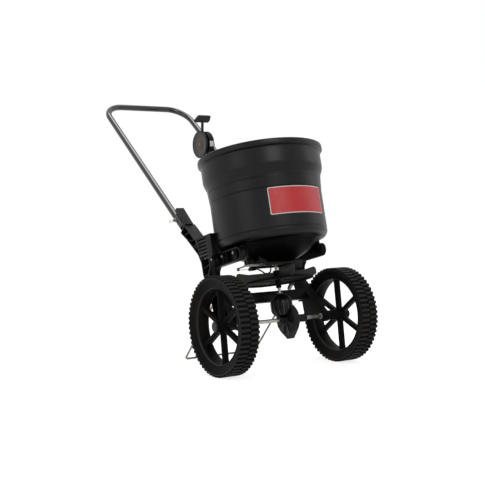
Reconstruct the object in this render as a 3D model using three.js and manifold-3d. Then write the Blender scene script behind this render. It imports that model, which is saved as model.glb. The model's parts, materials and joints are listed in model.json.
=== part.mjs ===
// A walk-behind broadcast spreader for seed and granules, in millimetres, +Z up, forward = -Y.
// Origin: the middle of its footprint on the ground. Two treaded wheels carry one axle; the axle turns
// a bevel pair in a small gearbox, and the bevel pair spins the impeller under the hopper three times
// as fast. A shutter under the hopper floor meters the flow; a push-pull cable works it from a lever
// on the handle. A wire stand and the two wheels hold the machine up at rest.
//
// Everything but the wheels is laid out in the machine's own frame: origin at the middle of the axle,
// X along the axle (+X to the right), Z up the hopper's axis. At rest that frame leans back by `lean`.
import * as THREE from "three";
import { mergeVertices } from "three/addons/utils/BufferGeometryUtils.js";
import Module from "manifold-3d";

const wasm = await Module();
wasm.setup();

// ---------------------------------------------------------------- driving dimensions
const degrees = THREE.MathUtils.degToRad;
const clearance = 0.3; // between pieces that touch or run on each other
const roundSides = 16; // sides of shafts, bores and bushes
const smallSides = 8; // sides of pins, bolts and wires
const lean = degrees(11.82); // nose-up lean of the machine on its stand

// wheels and axle
const wheelDiameter = 305; // over the lugs
const wheelWidth = 64;
const wheelGap = 5; // between a wheel and its side frame
const lugsPerRow = 60;
const lugHeight = 5;
const lugEndSlope = 0.6; // the lugs stop this far in from the sidewalls
const rowGap = 2; // between the two rows of lugs
const rimFacets = 30;
const rimOpening = 231; // inside diameter of the rim's lips
const rimWaist = 224; // inside diameter of the barrel between them
const rimLipReach = 22.3; // the lips, each side of the wheel's middle plane
const hubDiameter = 35;
const hubInboard = 50; // hub length each side of the wheel's middle plane
const hubOutboard = 28;
const capSeatDepth = 14;
const capSkirtRadius = 13;
const spokeCount = 6;
const spokeWidth = 15;
const spokeDepth = 24;
const spokeLean = degrees(5.5); // how far the upright spokes stand off the vertical at rest
const axleDiameter = 12.7;
const bushWall = 2.2;
const bushFlange = 2;
const drivePinRadius = 2.5;
const cotterRadius = 1.6;

// side frames
const frameInner = 147; // inner faces of the side frames, from the middle: it sets the machine's width
const frameDepth = 42; // each side frame, across
const frameWeb = 5; // the side frames' inner wall
const frameBossRadius = 18;
const legInset = 14; // below the cross member the frames stand this much further apart
const legTop = 62;
const ribThickness = 3.5;
const armDepth = 19; // each hopper arm, across
const armBottom = 190;
const armTop = 232;
const boltRowY = [-5, 60, 122]; // the hopper bolts along each arm
const boltRowZ = 221;
const boltRadius = 3;
const armRibY = [-30, 22, 44, 84];
const armNose = -58; // y of the arms' round front ends
const cradleY = [60, 154]; // the cradle behind the hopper's flank
const cradleZ = [223, 297];
const cradleSlots = 6;
const cradleSlotHeight = 4.5;
const crossY = [62, 94]; // the cross member's section
const crossZ = [66, 100];

// hopper
const hopperWall = 3.5;
const hopperFloorZ = 180; // underside of the flat floor
const hopperFloorRadius = 59;
const hopperOverhang = 32.3; // the hopper's body reaches this far out over the frames' inner faces
const hopperStep = 13.7; // from the body's radius to the upper band's
const hopperRoll = 8.7; // from the upper band's radius to the rim's
const hopperRimZ = 536;
const hopperStepZ = 468; // where the upper band starts
const hopperBodyZ = [274, 390]; // the straight part of the body
const hopperShoulder = [[67.3, 207], [35.3, 230], [11.3, 250]]; // inside the body's radius, and z
const hopperFacets = 36;
const hopperGap = 1; // between the hopper and the side frames' cradles
const earThickness = 8;
const portDiameter = 22; // drop ports in the hopper floor
const portX = 18;
const portY = 21;

// impeller and its shaft
const shaftDiameter = 9.5;
const shaftBottom = 24;
const smallPinRadius = 1.5;
const impellerDiameter = 276;
const impellerDiscRadius = 113;
const impellerDiscZ = 129;
const impellerHubRadius = 13;
const impellerHubTop = 157;
const impellerHubBottom = 112;
const impellerFacets = 28;
const impellerVanes = 4;
const impellerPhase = degrees(-12);
const vaneTop = 152;
const vaneTipTop = 161; // clear of the guide's end, outside it
const vaneTipRise = 40; // the vanes rise over this much of their outer end
const vaneThickness = 4;

// bevel pair and gearbox
const gearTeeth = 30;
const pinionTeeth = 10;
const gearPitchRadius = 42; // at the teeth's large end
const gearFaceWidth = 12;
const gearHubRadius = 11;
const gearPinRadius = 1.5;
const pinionHubRadius = 9.5;
const pinionHubTop = 60;
const housingRadius = 50;
const keelDepth = 61; // the keel under the drum, from the axle
const housingWall = 3.2;
const drumLeft = 5; // the gear drum's two faces along X
const drumRight = 28;
const towerRadius = 33;
const towerNeckRadius = 12;
const towerTop = 83;
const towerRibCount = 10;
const drumRibCount = 8;
const drumFacets = 28;
const gearboxBossRadius = 12.5;
const leftBossEnd = -18;
const rightBossEnd = 84;

// handle
const tubeDiameter = 22.2;
const tubeSides = 12;
const handleInset = 11.4; // the tube's centreline from the side frame's outer face
const handleRake = degrees(39.73); // from the hopper's axis
const handleOffset = 192.2; // y of the tube's centreline at z = 300
const handleBendRadius = 81;
const handleFootZ = 352;
const handleBarZ = 928.7;
const handlePinZ = 382;
const handlePinRadius = 4;
const paddleReach = 26; // from the tube's centreline to the paddle's front edge
const paddleBottomZ = 342;
const paddleTopZ = 400;
const paddleInset = 8; // the paddle's plate stands this far outboard of the frame's inner face

// stand
const standWireDiameter = 7;
const standFootY = 377; // behind the axle, on the ground
const standInset = 4.4; // the legs' centrelines from the side frames' inner faces
const standTop = [112, 127]; // where the legs turn out into the side frames
const standBend = 12;

// shutter
const shutterTravel = 30;
const shutterThickness = 3;
const shutterHalfWidth = 36;
const shutterTail = -120; // the tip of the pointed tail, shutter closed
const guideEnd = 76;
const guideNose = 36; // length of the block at its end
const guideBottom = 157;
const cableLine = { y: 52, z: 173.5 }; // the shutter wire's line along X
const wireAnchorX = -108;
const ferruleX = -70;
const ferruleLength = 34;

// flow control and its cable
const leverSwing = degrees(60);
const leverRest = degrees(15.5); // forward of the hopper's axis
const leverInset = 35.1; // the lever's plane from the handle leg's centreline
const leverReach = 96;
const gripWidth = 80;
const gripHeight = 22;
const gripDepth = 15;
const dialZ = 738; // where the flow control sits along the handle
const dialRadius = 52;
const dialHalfWidth = 18;
const dialBoltRadius = 4;
const dialFacets = 28;
const cableDiameter = 5;
const cableSteps = 45;
const wireDiameter = 1.6;
const clipZ = [530, 588]; // the cable's clips, by the height of the handle leg
const bareWireLength = 45; // from the sheath's upper end to the drum
const stemHalf = 2.5; // half the lever's thickness
const stemDepth = 14; // the lever's stem, front to rear

// ---------------------------------------------------------------- sizes that follow from them
const wheelRadius = wheelDiameter / 2;
const frameOuter = frameInner + frameDepth;
const wheelCentre = frameOuter + wheelGap + wheelWidth / 2; // half the track
const treadRootRadius = wheelRadius - lugHeight;
const lugPitch = (2 * Math.PI) / lugsPerRow;
const lugTipHalfAngle = lugPitch * 0.19;
const lugRootHalfAngle = lugPitch * 0.31;
const axleHeight = wheelRadius * Math.cos(lugTipHalfAngle); // a lug stands flat on the ground
const axleRadius = axleDiameter / 2;
const axleHalfLength = wheelCentre + hubOutboard - 3;
const axleBushRadius = axleRadius + clearance + bushWall;
const cotterX = axleHalfLength - 5;
const drivePinDepth = hubInboard - 9;
const capSeatRadius = capSkirtRadius + clearance;
const armOuter = frameInner + armDepth;
const hopperBodyRadius = frameInner + hopperOverhang;
const hopperStepRadius = hopperBodyRadius + hopperStep;
const hopperRimRadius = hopperStepRadius + hopperRoll;
const handleHalfWidth = frameOuter - handleInset;
const standHalfWidth = frameInner - standInset;
const leverX = handleHalfWidth - leverInset;
const frameBossOuter = wheelCentre - hubInboard - bushFlange - 2 * clearance;
const earInner = frameInner - clearance - earThickness;
const shaftRadius = shaftDiameter / 2;
const shaftBushRadius = shaftRadius + clearance + bushWall;
const agitatorFloorZ = hopperFloorZ + hopperWall + 4;
const shaftTop = agitatorFloorZ + 20;
const pinionPinZ = pinionHubTop - 6;
const impellerPinZ = impellerHubBottom + 6;
const agitatorPinZ = agitatorFloorZ + 14;
const gearHubEnd = drumRight - housingWall - 2 * clearance;
const gearPinX = gearHubEnd - 2.5;
const tubeRadius = tubeDiameter / 2;
const tubeSeatRadius = (tubeRadius + clearance) / Math.cos(Math.PI / tubeSides); // a hole round it
const tubeInnerX = handleHalfWidth - tubeRadius - clearance; // what lies beside the handle tube
const pinTip = handleHalfWidth + tubeRadius + 9;
const cotterPlane = pinTip - 5; // the hair cotter's hole near the clevis pin's tip
const cotterWireRadius = 1.1;
const standRadius = standWireDiameter / 2;
const pushNutRadius = standRadius * 2.1;
const ferruleRadius = cableDiameter / 2 + 0.1;
const cableX = tubeInnerX - cableDiameter / 2; // the cable's line along the handle leg
const drumRadius = shutterTravel / leverSwing; // so that the lever's swing is the shutter's travel

/** y of the handle tube's centreline where it is at height z. */
const handleLine = (z) => handleOffset + (z - 300) * Math.tan(handleRake);

/** A point beside the handle leg, `ahead` of its centreline where that is at height z, as (y, z). */
const alongTube = (z, ahead) => [
  handleLine(z) - ahead * Math.cos(handleRake),
  z + ahead * Math.sin(handleRake),
];

/** A (y, z) point of the machine's frame as (y behind the axle, height over the ground), and back. */
const toGround = (y, z) => [
  y * Math.cos(lean) + z * Math.sin(lean),
  z * Math.cos(lean) - y * Math.sin(lean) + axleHeight,
];
const fromGround = (y, z) => [
  y * Math.cos(lean) - (z - axleHeight) * Math.sin(lean),
  y * Math.sin(lean) + (z - axleHeight) * Math.cos(lean),
];

const handleRear = toGround(handleLine(handleBarZ), handleBarZ)[0] + tubeRadius;
const footprintMiddle = (handleRear - wheelRadius) / 2;
const sheathEnd = [leverX, ...alongTube(dialZ - bareWireLength * Math.cos(handleRake), -drumRadius)];
const drumTangent = [leverX, ...alongTube(dialZ, -drumRadius)];

/** The cable's route: behind the shaft, up past the hopper and the right frame, then up the handle leg. */
const cableRoute = [
  [ferruleX + ferruleLength + clearance, cableLine.y, cableLine.z],
  [-27, cableLine.y + 0.5, cableLine.z - 1],
  [-11, 57, 160],
  [8, 62, 157.5],
  [24, 70, 162],
  [40, 86, 173],
  [60, 110, 188],
  [85, 146, 205],
  [frameInner - 37, 174, 236],
  [frameInner - 18, 190, 275],
  [frameInner - 8, 205, 312],
  [frameInner - 5, ...alongTube(345, 12)],
  [frameInner - 2, ...alongTube(372, 18)],
  [frameInner + 3, ...alongTube(402, 18)],
  [frameInner + 4, ...alongTube(430, 13)],
  [cableX - 6, ...alongTube(462, 4)],
  [cableX, ...alongTube(492, 0)],
  [cableX, ...alongTube(512, 0)],
  [cableX, ...alongTube(558, 0)],
  [cableX, ...alongTube(604, 0)],
  [cableX, ...alongTube(624, 0)],
  [cableX - 4, ...alongTube(650, -6)],
  [leverX + 6.5, ...alongTube(672, -19)],
  [leverX, ...alongTube(690, -drumRadius)],
  sheathEnd,
];

// ---------------------------------------------------------------- finishes
const finish = (color, roughness, metalness) => ({ color, roughness, metalness });
const finishes = {
  hopper: finish(0x202225, 0.42, 0),
  moulding: finish(0x1b1c1e, 0.5, 0),
  tyre: finish(0x191a1b, 0.62, 0),
  paint: finish(0x1d1a19, 0.25, 0.3),
  steel: finish(0xb9bbbd, 0.3, 1),
  zinc: finish(0xa3a5a6, 0.38, 1),
  nylon: finish(0xd8d6cc, 0.5, 0),
  acetal: finish(0x2b2c2e, 0.45, 0),
  dial: finish(0x4a4542, 0.5, 0),
  sheath: finish(0x151515, 0.45, 0),
};

// ---------------------------------------------------------------- solids: join, cut, place
/** A closed three.js geometry as a manifold-3d solid. */
function solid(shape) {
  if (!shape.isBufferGeometry) return shape;
  const bare = new THREE.BufferGeometry();
  bare.setAttribute("position", shape.getAttribute("position"));
  bare.setIndex(shape.index);
  const merged = mergeVertices(bare, 1e-4);
  return new wasm.Manifold(
    new wasm.Mesh({
      numProp: 3,
      vertProperties: new Float32Array(merged.attributes.position.array),
      triVerts: new Uint32Array(merged.index.array),
    }),
  );
}

const join = (...shapes) => shapes.map(solid).reduce((a, b) => a.add(b));
const cut = (shape, ...tools) => tools.map(solid).reduce((a, b) => a.subtract(b), solid(shape));
const common = (a, b) => solid(a).intersect(solid(b));

/** A solid, or a closed geometry, as a flat-shaded BufferGeometry. */
function geometryOf(shape) {
  const mesh = solid(shape).getMesh();
  const geometry = new THREE.BufferGeometry();
  const points = new Float32Array(mesh.numVert * 3);
  for (let i = 0; i < mesh.numVert; i++) {
    points.set(mesh.vertProperties.subarray(i * mesh.numProp, i * mesh.numProp + 3), i * 3);
  }
  geometry.setAttribute("position", new THREE.BufferAttribute(points, 3));
  geometry.setIndex(new THREE.BufferAttribute(mesh.triVerts, 1));
  const flat = geometry.toNonIndexed();
  flat.computeVertexNormals();
  return flat;
}

/** A named mesh in its own finish. */
function piece(name, shape, look) {
  const mesh = new THREE.Mesh(geometryOf(shape), new THREE.MeshStandardMaterial(look));
  mesh.name = name;
  return mesh;
}

/** The same piece for the other side: reflected in the plane X = 0. */
function mirrored(shape) {
  const geometry = geometryOf(shape).scale(-1, 1, 1);
  const p = geometry.getAttribute("position");
  for (let i = 0; i < p.count; i += 3) {
    const [x, y, z] = [p.getX(i), p.getY(i), p.getZ(i)];
    p.setXYZ(i, p.getX(i + 1), p.getY(i + 1), p.getZ(i + 1));
    p.setXYZ(i + 1, x, y, z);
  }
  return geometry;
}

// ---------------------------------------------------------------- basic forms, made in place
/** A block between two corners. */
function block([x0, y0, z0], [x1, y1, z1]) {
  const geometry = new THREE.BoxGeometry(x1 - x0, y1 - y0, z1 - z0);
  return geometry.translate((x0 + x1) / 2, (y0 + y1) / 2, (z0 + z1) / 2);
}

/** A round bar between two points. */
function bar(radius, from, to, sides = 16, endRadius = radius) {
  const start = new THREE.Vector3(...from);
  const end = new THREE.Vector3(...to);
  const axis = end.clone().sub(start);
  const geometry = new THREE.CylinderGeometry(endRadius, radius, axis.length(), sides);
  const turn = new THREE.Quaternion().setFromUnitVectors(
    new THREE.Vector3(0, 1, 0),
    axis.clone().normalize(),
  );
  const middle = start.add(end).multiplyScalar(0.5);
  return geometry.applyQuaternion(turn).translate(middle.x, middle.y, middle.z);
}

/** A profile of [radius, height] points turned about Z. A profile off the axis closes on itself. */
function turned(profile, segments = 32) {
  const points = profile.map(([r, h]) => new THREE.Vector2(Math.max(r, 0), h));
  if (THREE.ShapeUtils.isClockWise(points)) points.reverse();
  const onAxis = points.filter((p) => p.x === 0).length;
  if (onAxis === 0) points.push(points[0].clone());
  while (onAxis && !(points[0].x === 0 && points.at(-1).x === 0)) points.push(points.shift());
  return new THREE.LatheGeometry(points, segments).rotateX(Math.PI / 2);
}

/** The same about X, heights running along +X. */
const turnedX = (profile, segments) => turned(profile, segments).rotateY(Math.PI / 2);

/** Stitches rings of [x, y, z] points, each the same way round, into one skin; the last joins the first. */
function ringSkin(rings) {
  const starts = rings.map((_, i) => rings.slice(0, i).reduce((sum, ring) => sum + ring.length, 0));
  const faces = [];
  rings.forEach((ring, r) => {
    const next = (r + 1) % rings.length;
    const steps = Math.max(ring.length, rings[next].length);
    const at = (index, k) => {
      const count = rings[index].length;
      return starts[index] + (Math.floor((k * count) / steps) % count);
    };
    for (let k = 0; k < steps; k++) {
      const [a0, a1, b0, b1] = [at(r, k), at(r, k + 1), at(next, k), at(next, k + 1)];
      if (a0 !== a1) faces.push(a0, a1, b0);
      if (b0 !== b1) faces.push(a1, b1, b0);
    }
  });
  const geometry = new THREE.BufferGeometry();
  geometry.setAttribute("position", new THREE.BufferAttribute(new Float32Array(rings.flat(2)), 3));
  geometry.setIndex(faces);
  return geometry;
}

/** A ring of [x, y, z] points about Z at height z, through each [turn, radius]. */
const ringAt = (z, points) =>
  points.map(([turn, radius]) => [radius * Math.cos(turn), radius * Math.sin(turn), z]);

/** Outline corners [u, v, radius] with each corner's radius put in as an arc. */
function outline(corners, arcSteps = 4) {
  const points = [];
  corners.forEach(([u, v, radius = 0], i) => {
    const here = new THREE.Vector2(u, v);
    if (!radius) {
      points.push(here);
      return;
    }
    const [pu, pv] = corners.at(i - 1);
    const [nu, nv] = corners[(i + 1) % corners.length];
    const back = new THREE.Vector2(pu - u, pv - v).normalize();
    const ahead = new THREE.Vector2(nu - u, nv - v).normalize();
    const half = Math.acos(THREE.MathUtils.clamp(back.dot(ahead), -1, 1)) / 2;
    const centre = back.clone().add(ahead).normalize().multiplyScalar(radius / Math.sin(half)).add(here);
    const start = back.multiplyScalar(radius / Math.tan(half)).add(here).sub(centre);
    const sweep = (Math.PI - 2 * half) * Math.sign(start.cross(here.clone().sub(centre)) || 1);
    for (let k = 0; k <= arcSteps; k++) {
      const turn = start.clone().rotateAround(new THREE.Vector2(), (sweep * k) / arcSteps);
      points.push(turn.add(centre));
    }
  });
  return points;
}

/** Points of a circle, for an outline or a hole. */
const circle = (u, v, radius, sides = 16) =>
  Array.from({ length: sides }, (_, k) => {
    const angle = (2 * Math.PI * (k + 0.5)) / sides;
    return new THREE.Vector2(u + radius * Math.cos(angle), v + radius * Math.sin(angle));
  });

/** The outline moved inwards by a distance, corner by corner. */
function inset(corners, distance) {
  const points = corners.map(([u, v]) => new THREE.Vector2(u, v));
  const side = THREE.ShapeUtils.isClockWise(points) ? -1 : 1;
  return points.map((p, i) => {
    const a = p.clone().sub(points.at(i - 1)).normalize();
    const b = points[(i + 1) % points.length].clone().sub(p).normalize();
    const normal = new THREE.Vector2(-a.y - b.y, a.x + b.x).normalize();
    const stretch = normal.dot(new THREE.Vector2(-a.y, a.x));
    normal.multiplyScalar((side * distance) / Math.max(stretch, 0.4));
    const radius = Math.max((corners[i][2] ?? 0) - distance, 0);
    return [p.x + normal.x, p.y + normal.y, radius];
  });
}

/** A plate: an outline with holes, of a given thickness, along +Z. */
function slab(points, thickness, holes = []) {
  const shape = new THREE.Shape(points);
  shape.holes = holes.map((hole) => new THREE.Path(hole));
  return new THREE.ExtrudeGeometry(shape, { depth: thickness, bevelEnabled: false });
}

const alongX = new THREE.Matrix4().makeBasis(
  new THREE.Vector3(0, 1, 0),
  new THREE.Vector3(0, 0, 1),
  new THREE.Vector3(1, 0, 0),
);

/** A plate whose outline is drawn in (y, z), from x0 to x1. */
const sidePlate = (points, x0, x1, holes) =>
  slab(points, x1 - x0, holes).applyMatrix4(alongX).translate(x0, 0, 0);

/** A plate whose outline is drawn in (x, y), from z0 to z1. */
const levelPlate = (points, z0, z1, holes) => slab(points, z1 - z0, holes).translate(0, 0, z0);

/** A rod's route: straight runs joined by arcs of one radius, a section only where the direction changes. */
class BentRoute extends THREE.Curve {
  constructor(corners, bendRadius, stepsPerBend) {
    super();
    const points = corners.map((corner) => new THREE.Vector3(...corner));
    this.stations = [];
    points.forEach((here, i) => {
      if (i === 0 || i === points.length - 1) {
        const next = i === 0 ? points[1].clone().sub(here) : here.clone().sub(points[i - 1]);
        this.stations.push({ point: here, tangent: next.normalize() });
        return;
      }
      const before = here.clone().sub(points[i - 1]).normalize();
      const after = points[i + 1].clone().sub(here).normalize();
      const turn = before.angleTo(after);
      const inward = after.clone().sub(before).normalize();
      const centre = here.clone().addScaledVector(inward, bendRadius / Math.cos(turn / 2));
      const start = here.clone().addScaledVector(before, -bendRadius * Math.tan(turn / 2)).sub(centre);
      const axis = before.clone().cross(after).normalize();
      for (let k = 0; k <= stepsPerBend; k++) {
        const angle = (turn * k) / stepsPerBend;
        const point = start.clone().applyAxisAngle(axis, angle).add(centre);
        this.stations.push({ point, tangent: before.clone().applyAxisAngle(axis, angle) });
      }
    });
  }
  get steps() {
    return this.stations.length - 1;
  }
  getPoint(t) {
    const at = THREE.MathUtils.clamp(t, 0, 1) * this.steps;
    const i = Math.min(Math.floor(at + 1e-9), this.steps - 1);
    return this.stations[i].point.clone().lerp(this.stations[i + 1].point, at - i);
  }
  getTangent(t) {
    return this.stations[Math.round(t * this.steps)].tangent.clone();
  }
  getUtoTmapping(u) {
    return u;
  }
}

/** A round rod or tube along a curve. */
function rodAlong(curve, radius, sides, steps = curve.steps) {
  const section = new THREE.Shape(circle(0, 0, radius, sides));
  return new THREE.ExtrudeGeometry(section, { steps, extrudePath: curve, bevelEnabled: false });
}

const bentRod = (corners, bendRadius, radius, sides = 10, stepsPerBend = 5) =>
  rodAlong(new BentRoute(corners, bendRadius, stepsPerBend), radius, sides);

// ---------------------------------------------------------------- wheels, each about Z, outboard face up
/** The rim with its two staggered rows of lugs: sidewalls coned in to the lips, waisted barrel inside. */
function wheelRim() {
  const half = wheelWidth / 2;
  const opening = rimOpening / 2;
  const tooth = [
    [-lugRootHalfAngle, 0],
    [-lugTipHalfAngle, 1],
    [lugTipHalfAngle, 1],
    [lugRootHalfAngle, 0],
  ];
  const lugRing = (z, staggered) => {
    const points = Array.from({ length: lugsPerRow }, (_, i) =>
      tooth.map(([angle, tip]) => {
        const lift = staggered ? 1 - tip : tip;
        return [i * lugPitch + angle, treadRootRadius + lift * lugHeight];
      }),
    );
    return ringAt(z, points.flat());
  };
  const plainRing = (radius, z) => {
    const turns = Array.from({ length: rimFacets }, (_, i) => (2 * Math.PI * i) / rimFacets);
    return ringAt(z, turns.map((turn) => [turn - lugRootHalfAngle, radius]));
  };
  const sidewall = [
    [opening, rimLipReach - 1.3],
    [opening + 1.5, rimLipReach],
    [treadRootRadius - 2, half],
  ];
  return ringSkin([
    plainRing(rimWaist / 2, 0),
    ...sidewall.map(([r, z]) => plainRing(r, -z)),
    lugRing(lugEndSlope - half, true),
    lugRing(-rowGap / 2, true),
    lugRing(rowGap / 2, false),
    lugRing(half - lugEndSlope, false),
    ...sidewall.map(([r, z]) => plainRing(r, z)).reverse(),
  ]);
}

/** One spoke, ridged along both faces, from the hub out into the rim barrel. */
function spoke(turn) {
  const ridge = 2;
  const [w, d] = [spokeWidth / 2, spokeDepth / 2];
  const section = [
    [w, d - 4],
    [ridge, d],
    [-ridge, d],
    [-w, d - 4],
    [-w, 4 - d],
    [-ridge, -d],
    [ridge, -d],
    [w, 4 - d],
  ];
  return sidePlate(outline(section), hubDiameter / 4, rimOpening / 2 + 3).rotateZ(turn);
}

/** A whole poly wheel: rim, two staggered rows of lugs, spokes, bored hub with a seat for its cap. */
function wheel(spokePhase) {
  const radius = hubDiameter / 2;
  const hub = turned(
    [
      [0, -hubInboard],
      [radius - 2.5, -hubInboard],
      [radius, -15],
      [radius + 4, -9],
      [radius + 4, 9],
      [radius, 15],
      [radius - 1, hubOutboard],
      [0, hubOutboard],
    ],
    roundSides,
  );
  const spokes = Array.from({ length: spokeCount }, (_, i) =>
    spoke(spokePhase + (2 * Math.PI * i) / spokeCount),
  );
  const bore = bar(axleRadius + clearance, [0, 0, -hubInboard - 1], [0, 0, hubOutboard], roundSides);
  const seat = bar(capSeatRadius, [0, 0, hubOutboard - capSeatDepth], [0, 0, hubOutboard + 1], roundSides);
  const [y, z] = [hubDiameter, -drivePinDepth];
  const crossHole = bar(drivePinRadius + clearance, [0, -y, z], [0, y, z], smallSides);
  return cut(join(wheelRim(), hub, ...spokes), bore, seat, crossHole);
}

/** A snap-on cap for the hub's outer end, its skirt inside the hub. */
function hubCap() {
  const face = hubOutboard + clearance;
  const edge = hubDiameter / 2 - 1.5;
  const skirt = 6;
  return turned(
    [
      [0, face],
      [capSkirtRadius - 2, face],
      [capSkirtRadius - 2, face - skirt],
      [capSkirtRadius, face - skirt],
      [capSkirtRadius, face],
      [edge, face],
      [edge, face + 1.5],
      [edge - 2, face + 3],
      [0, face + 3.6],
    ],
    roundSides,
  );
}

/** The axle along X, drilled for the drive pin, the gear's pin and both cotter pins. */
function axle() {
  const holes = [
    [drivePinDepth - wheelCentre, drivePinRadius],
    [gearPinX, gearPinRadius],
    [-cotterX, cotterRadius],
    [cotterX, cotterRadius],
  ].map(([x, r]) => bar(r + clearance, [x, -axleDiameter, 0], [x, axleDiameter, 0], smallSides));
  const rod = turnedX(
    [
      [0, -axleHalfLength],
      [axleRadius - 1, -axleHalfLength],
      [axleRadius, 1 - axleHalfLength],
      [axleRadius, axleHalfLength - 1],
      [axleRadius - 1, axleHalfLength],
      [0, axleHalfLength],
    ],
    roundSides,
  );
  return cut(rod, ...holes);
}

/** A straight pin across the axle at x, with a domed head. */
function crossPin(x, radius, length, headRadius = 0) {
  const shank = bar(radius, [x, -length / 2, 0], [x, length / 2, 0], smallSides);
  if (!headRadius) return shank;
  const head = bar(headRadius, [x, -length / 2 - 2, 0], [x, -length / 2, 0], smallSides);
  return join(shank, head);
}

/** A flanged bush about X for the axle, its flange outboard. */
function axleBush() {
  return turnedX(
    [
      [axleRadius + clearance, frameInner - 1],
      [axleBushRadius, frameInner - 1],
      [axleBushRadius, frameBossOuter + clearance],
      [axleBushRadius + 4, frameBossOuter + clearance],
      [axleBushRadius + 4, frameBossOuter + clearance + bushFlange],
      [axleRadius + clearance, frameBossOuter + clearance + bushFlange],
    ],
    roundSides,
  );
}

// ---------------------------------------------------------------- hopper
/** The hopper's outside from the floor's edge to under the rim, as [radius, z]. */
function hopperSide() {
  const [bodyBottom, bodyTop] = hopperBodyZ;
  const body = hopperBodyRadius;
  const upper = hopperStepRadius;
  return [
    [hopperFloorRadius, hopperFloorZ],
    ...hopperShoulder.map(([inset, z]) => [body - inset, z]),
    [body, bodyBottom],
    [body, bodyTop],
    [body + 3.5, bodyTop + 46],
    [upper - 2, hopperStepZ - 10],
    [upper, hopperStepZ],
    [upper, hopperStepZ + 35],
    [upper + 4, hopperStepZ + 45],
  ];
}

/** The space inside the hopper, closed at the top. */
function hopperInside() {
  const [bodyBottom, bodyTop] = hopperBodyZ;
  const wall = hopperWall;
  const body = hopperBodyRadius - wall;
  const upper = hopperStepRadius - wall;
  return turned(
    [
      [0, hopperFloorZ + wall],
      [hopperFloorRadius - 1, hopperFloorZ + wall],
      ...hopperShoulder.map(([inset, z]) => [body - inset + 2, z + wall]),
      [body, bodyBottom + 3],
      [body, bodyTop + 2],
      [body + 3.5, bodyTop + 48],
      [upper, hopperStepZ + 2],
      [upper, hopperRimZ + 1],
      [0, hopperRimZ + 1],
    ],
    hopperFacets,
  );
}

/** The hopper's underside and flank grown by a gap: what the pieces round it have to stay clear of. */
function hopperEnvelope(gap) {
  const side = hopperSide().filter(([, z]) => z <= hopperBodyZ[1]);
  const grown = side.map(([r, z]) => [r + gap, z - gap]);
  return turned([[0, hopperFloorZ - gap], ...grown, [0, grown.at(-1)[1]]], hopperFacets);
}

/** Moulded ears under the shoulder, one wall each side, that the side frames' arms bolt to. */
function hopperEar(side) {
  const [inner, outer] = [earInner * side, (frameInner - clearance) * side];
  const wall = outline([
    [armNose + 4, 207, 8],
    [134, 207, 8],
    [134, 268],
    [60, 250],
    [armNose + 4, 246],
  ]);
  return sidePlate(wall, Math.min(inner, outer), Math.max(inner, outer));
}

function hopper() {
  const upper = hopperStepRadius;
  const rim = hopperRimRadius;
  const outside = turned(
    [
      [0, hopperFloorZ],
      ...hopperSide(),
      [rim, hopperRimZ - 16],
      [rim, hopperRimZ - 3],
      [rim - 3, hopperRimZ],
      [0, hopperRimZ],
    ],
    hopperFacets,
  );
  const ports = [-1, 1].map((side) => floorHole(portX, side * portY, portDiameter / 2));
  const boltHoles = hopperBoltSeats().map(([x, y, z]) => {
    return bar(boltRadius + clearance, [x - 20, y, z], [x + 20, y, z], 8);
  });
  const shell = join(outside, hopperEar(-1), hopperEar(1));
  return cut(shell, hopperInside(), floorHole(0, 0, shaftBushRadius + clearance), ...ports, ...boltHoles);
}

const floorHole = (x, y, radius) =>
  bar(radius, [x, y, hopperFloorZ - 2], [x, y, hopperFloorZ + hopperWall + 2], roundSides);

/** Where the hopper bolts cross the ears: three on each side. */
const hopperBoltSeats = () =>
  [-1, 1].flatMap((side) => boltRowY.map((y) => [side * frameInner, y, boltRowZ]));

/** A hex bolt through an arm's web into the ear, its head outboard. */
function hopperBolt([x, y, z]) {
  const side = Math.sign(x);
  const headSeat = x + side * (frameWeb + clearance);
  const shank = bar(boltRadius, [side * (earInner - 2), y, z], [headSeat, y, z], 8);
  const head = bar(boltRadius * 2.1, [headSeat, y, z], [headSeat + side * 4.5, y, z], 6);
  return join(shank, head);
}

/** A flanged bush that carries the impeller shaft in the hopper floor, flange inside the hopper. */
function floorBush() {
  const top = hopperFloorZ + hopperWall + clearance;
  return turned(
    [
      [shaftRadius + clearance, hopperFloorZ - 1],
      [shaftBushRadius, hopperFloorZ - 1],
      [shaftBushRadius, top],
      [shaftBushRadius + 4, top],
      [shaftBushRadius + 4, top + 2],
      [shaftRadius + clearance, top + 2],
    ],
    roundSides,
  );
}

// ---------------------------------------------------------------- frame
/** The right side frame's spine and leg in (y, z): from the axle boss up to the ledge under the tube. */
function spineOutline() {
  const ledge = handleFootZ - 8; // height of the tube's centreline at the ledge
  const front = alongTube(ledge, paddleReach - 4);
  const rear = alongTube(ledge, -tubeRadius - 2.5);
  return [
    [-17, 6],
    [55, 82],
    [104, 135],
    [97, 178],
    [84, 192],
    [84, 292],
    [158, 299],
    front,
    rear,
    [205, 305],
    [149, 245],
    [136, 216],
    [134, 177],
    [106, 72],
    [103, 22],
    [8, -18],
  ];
}

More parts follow.
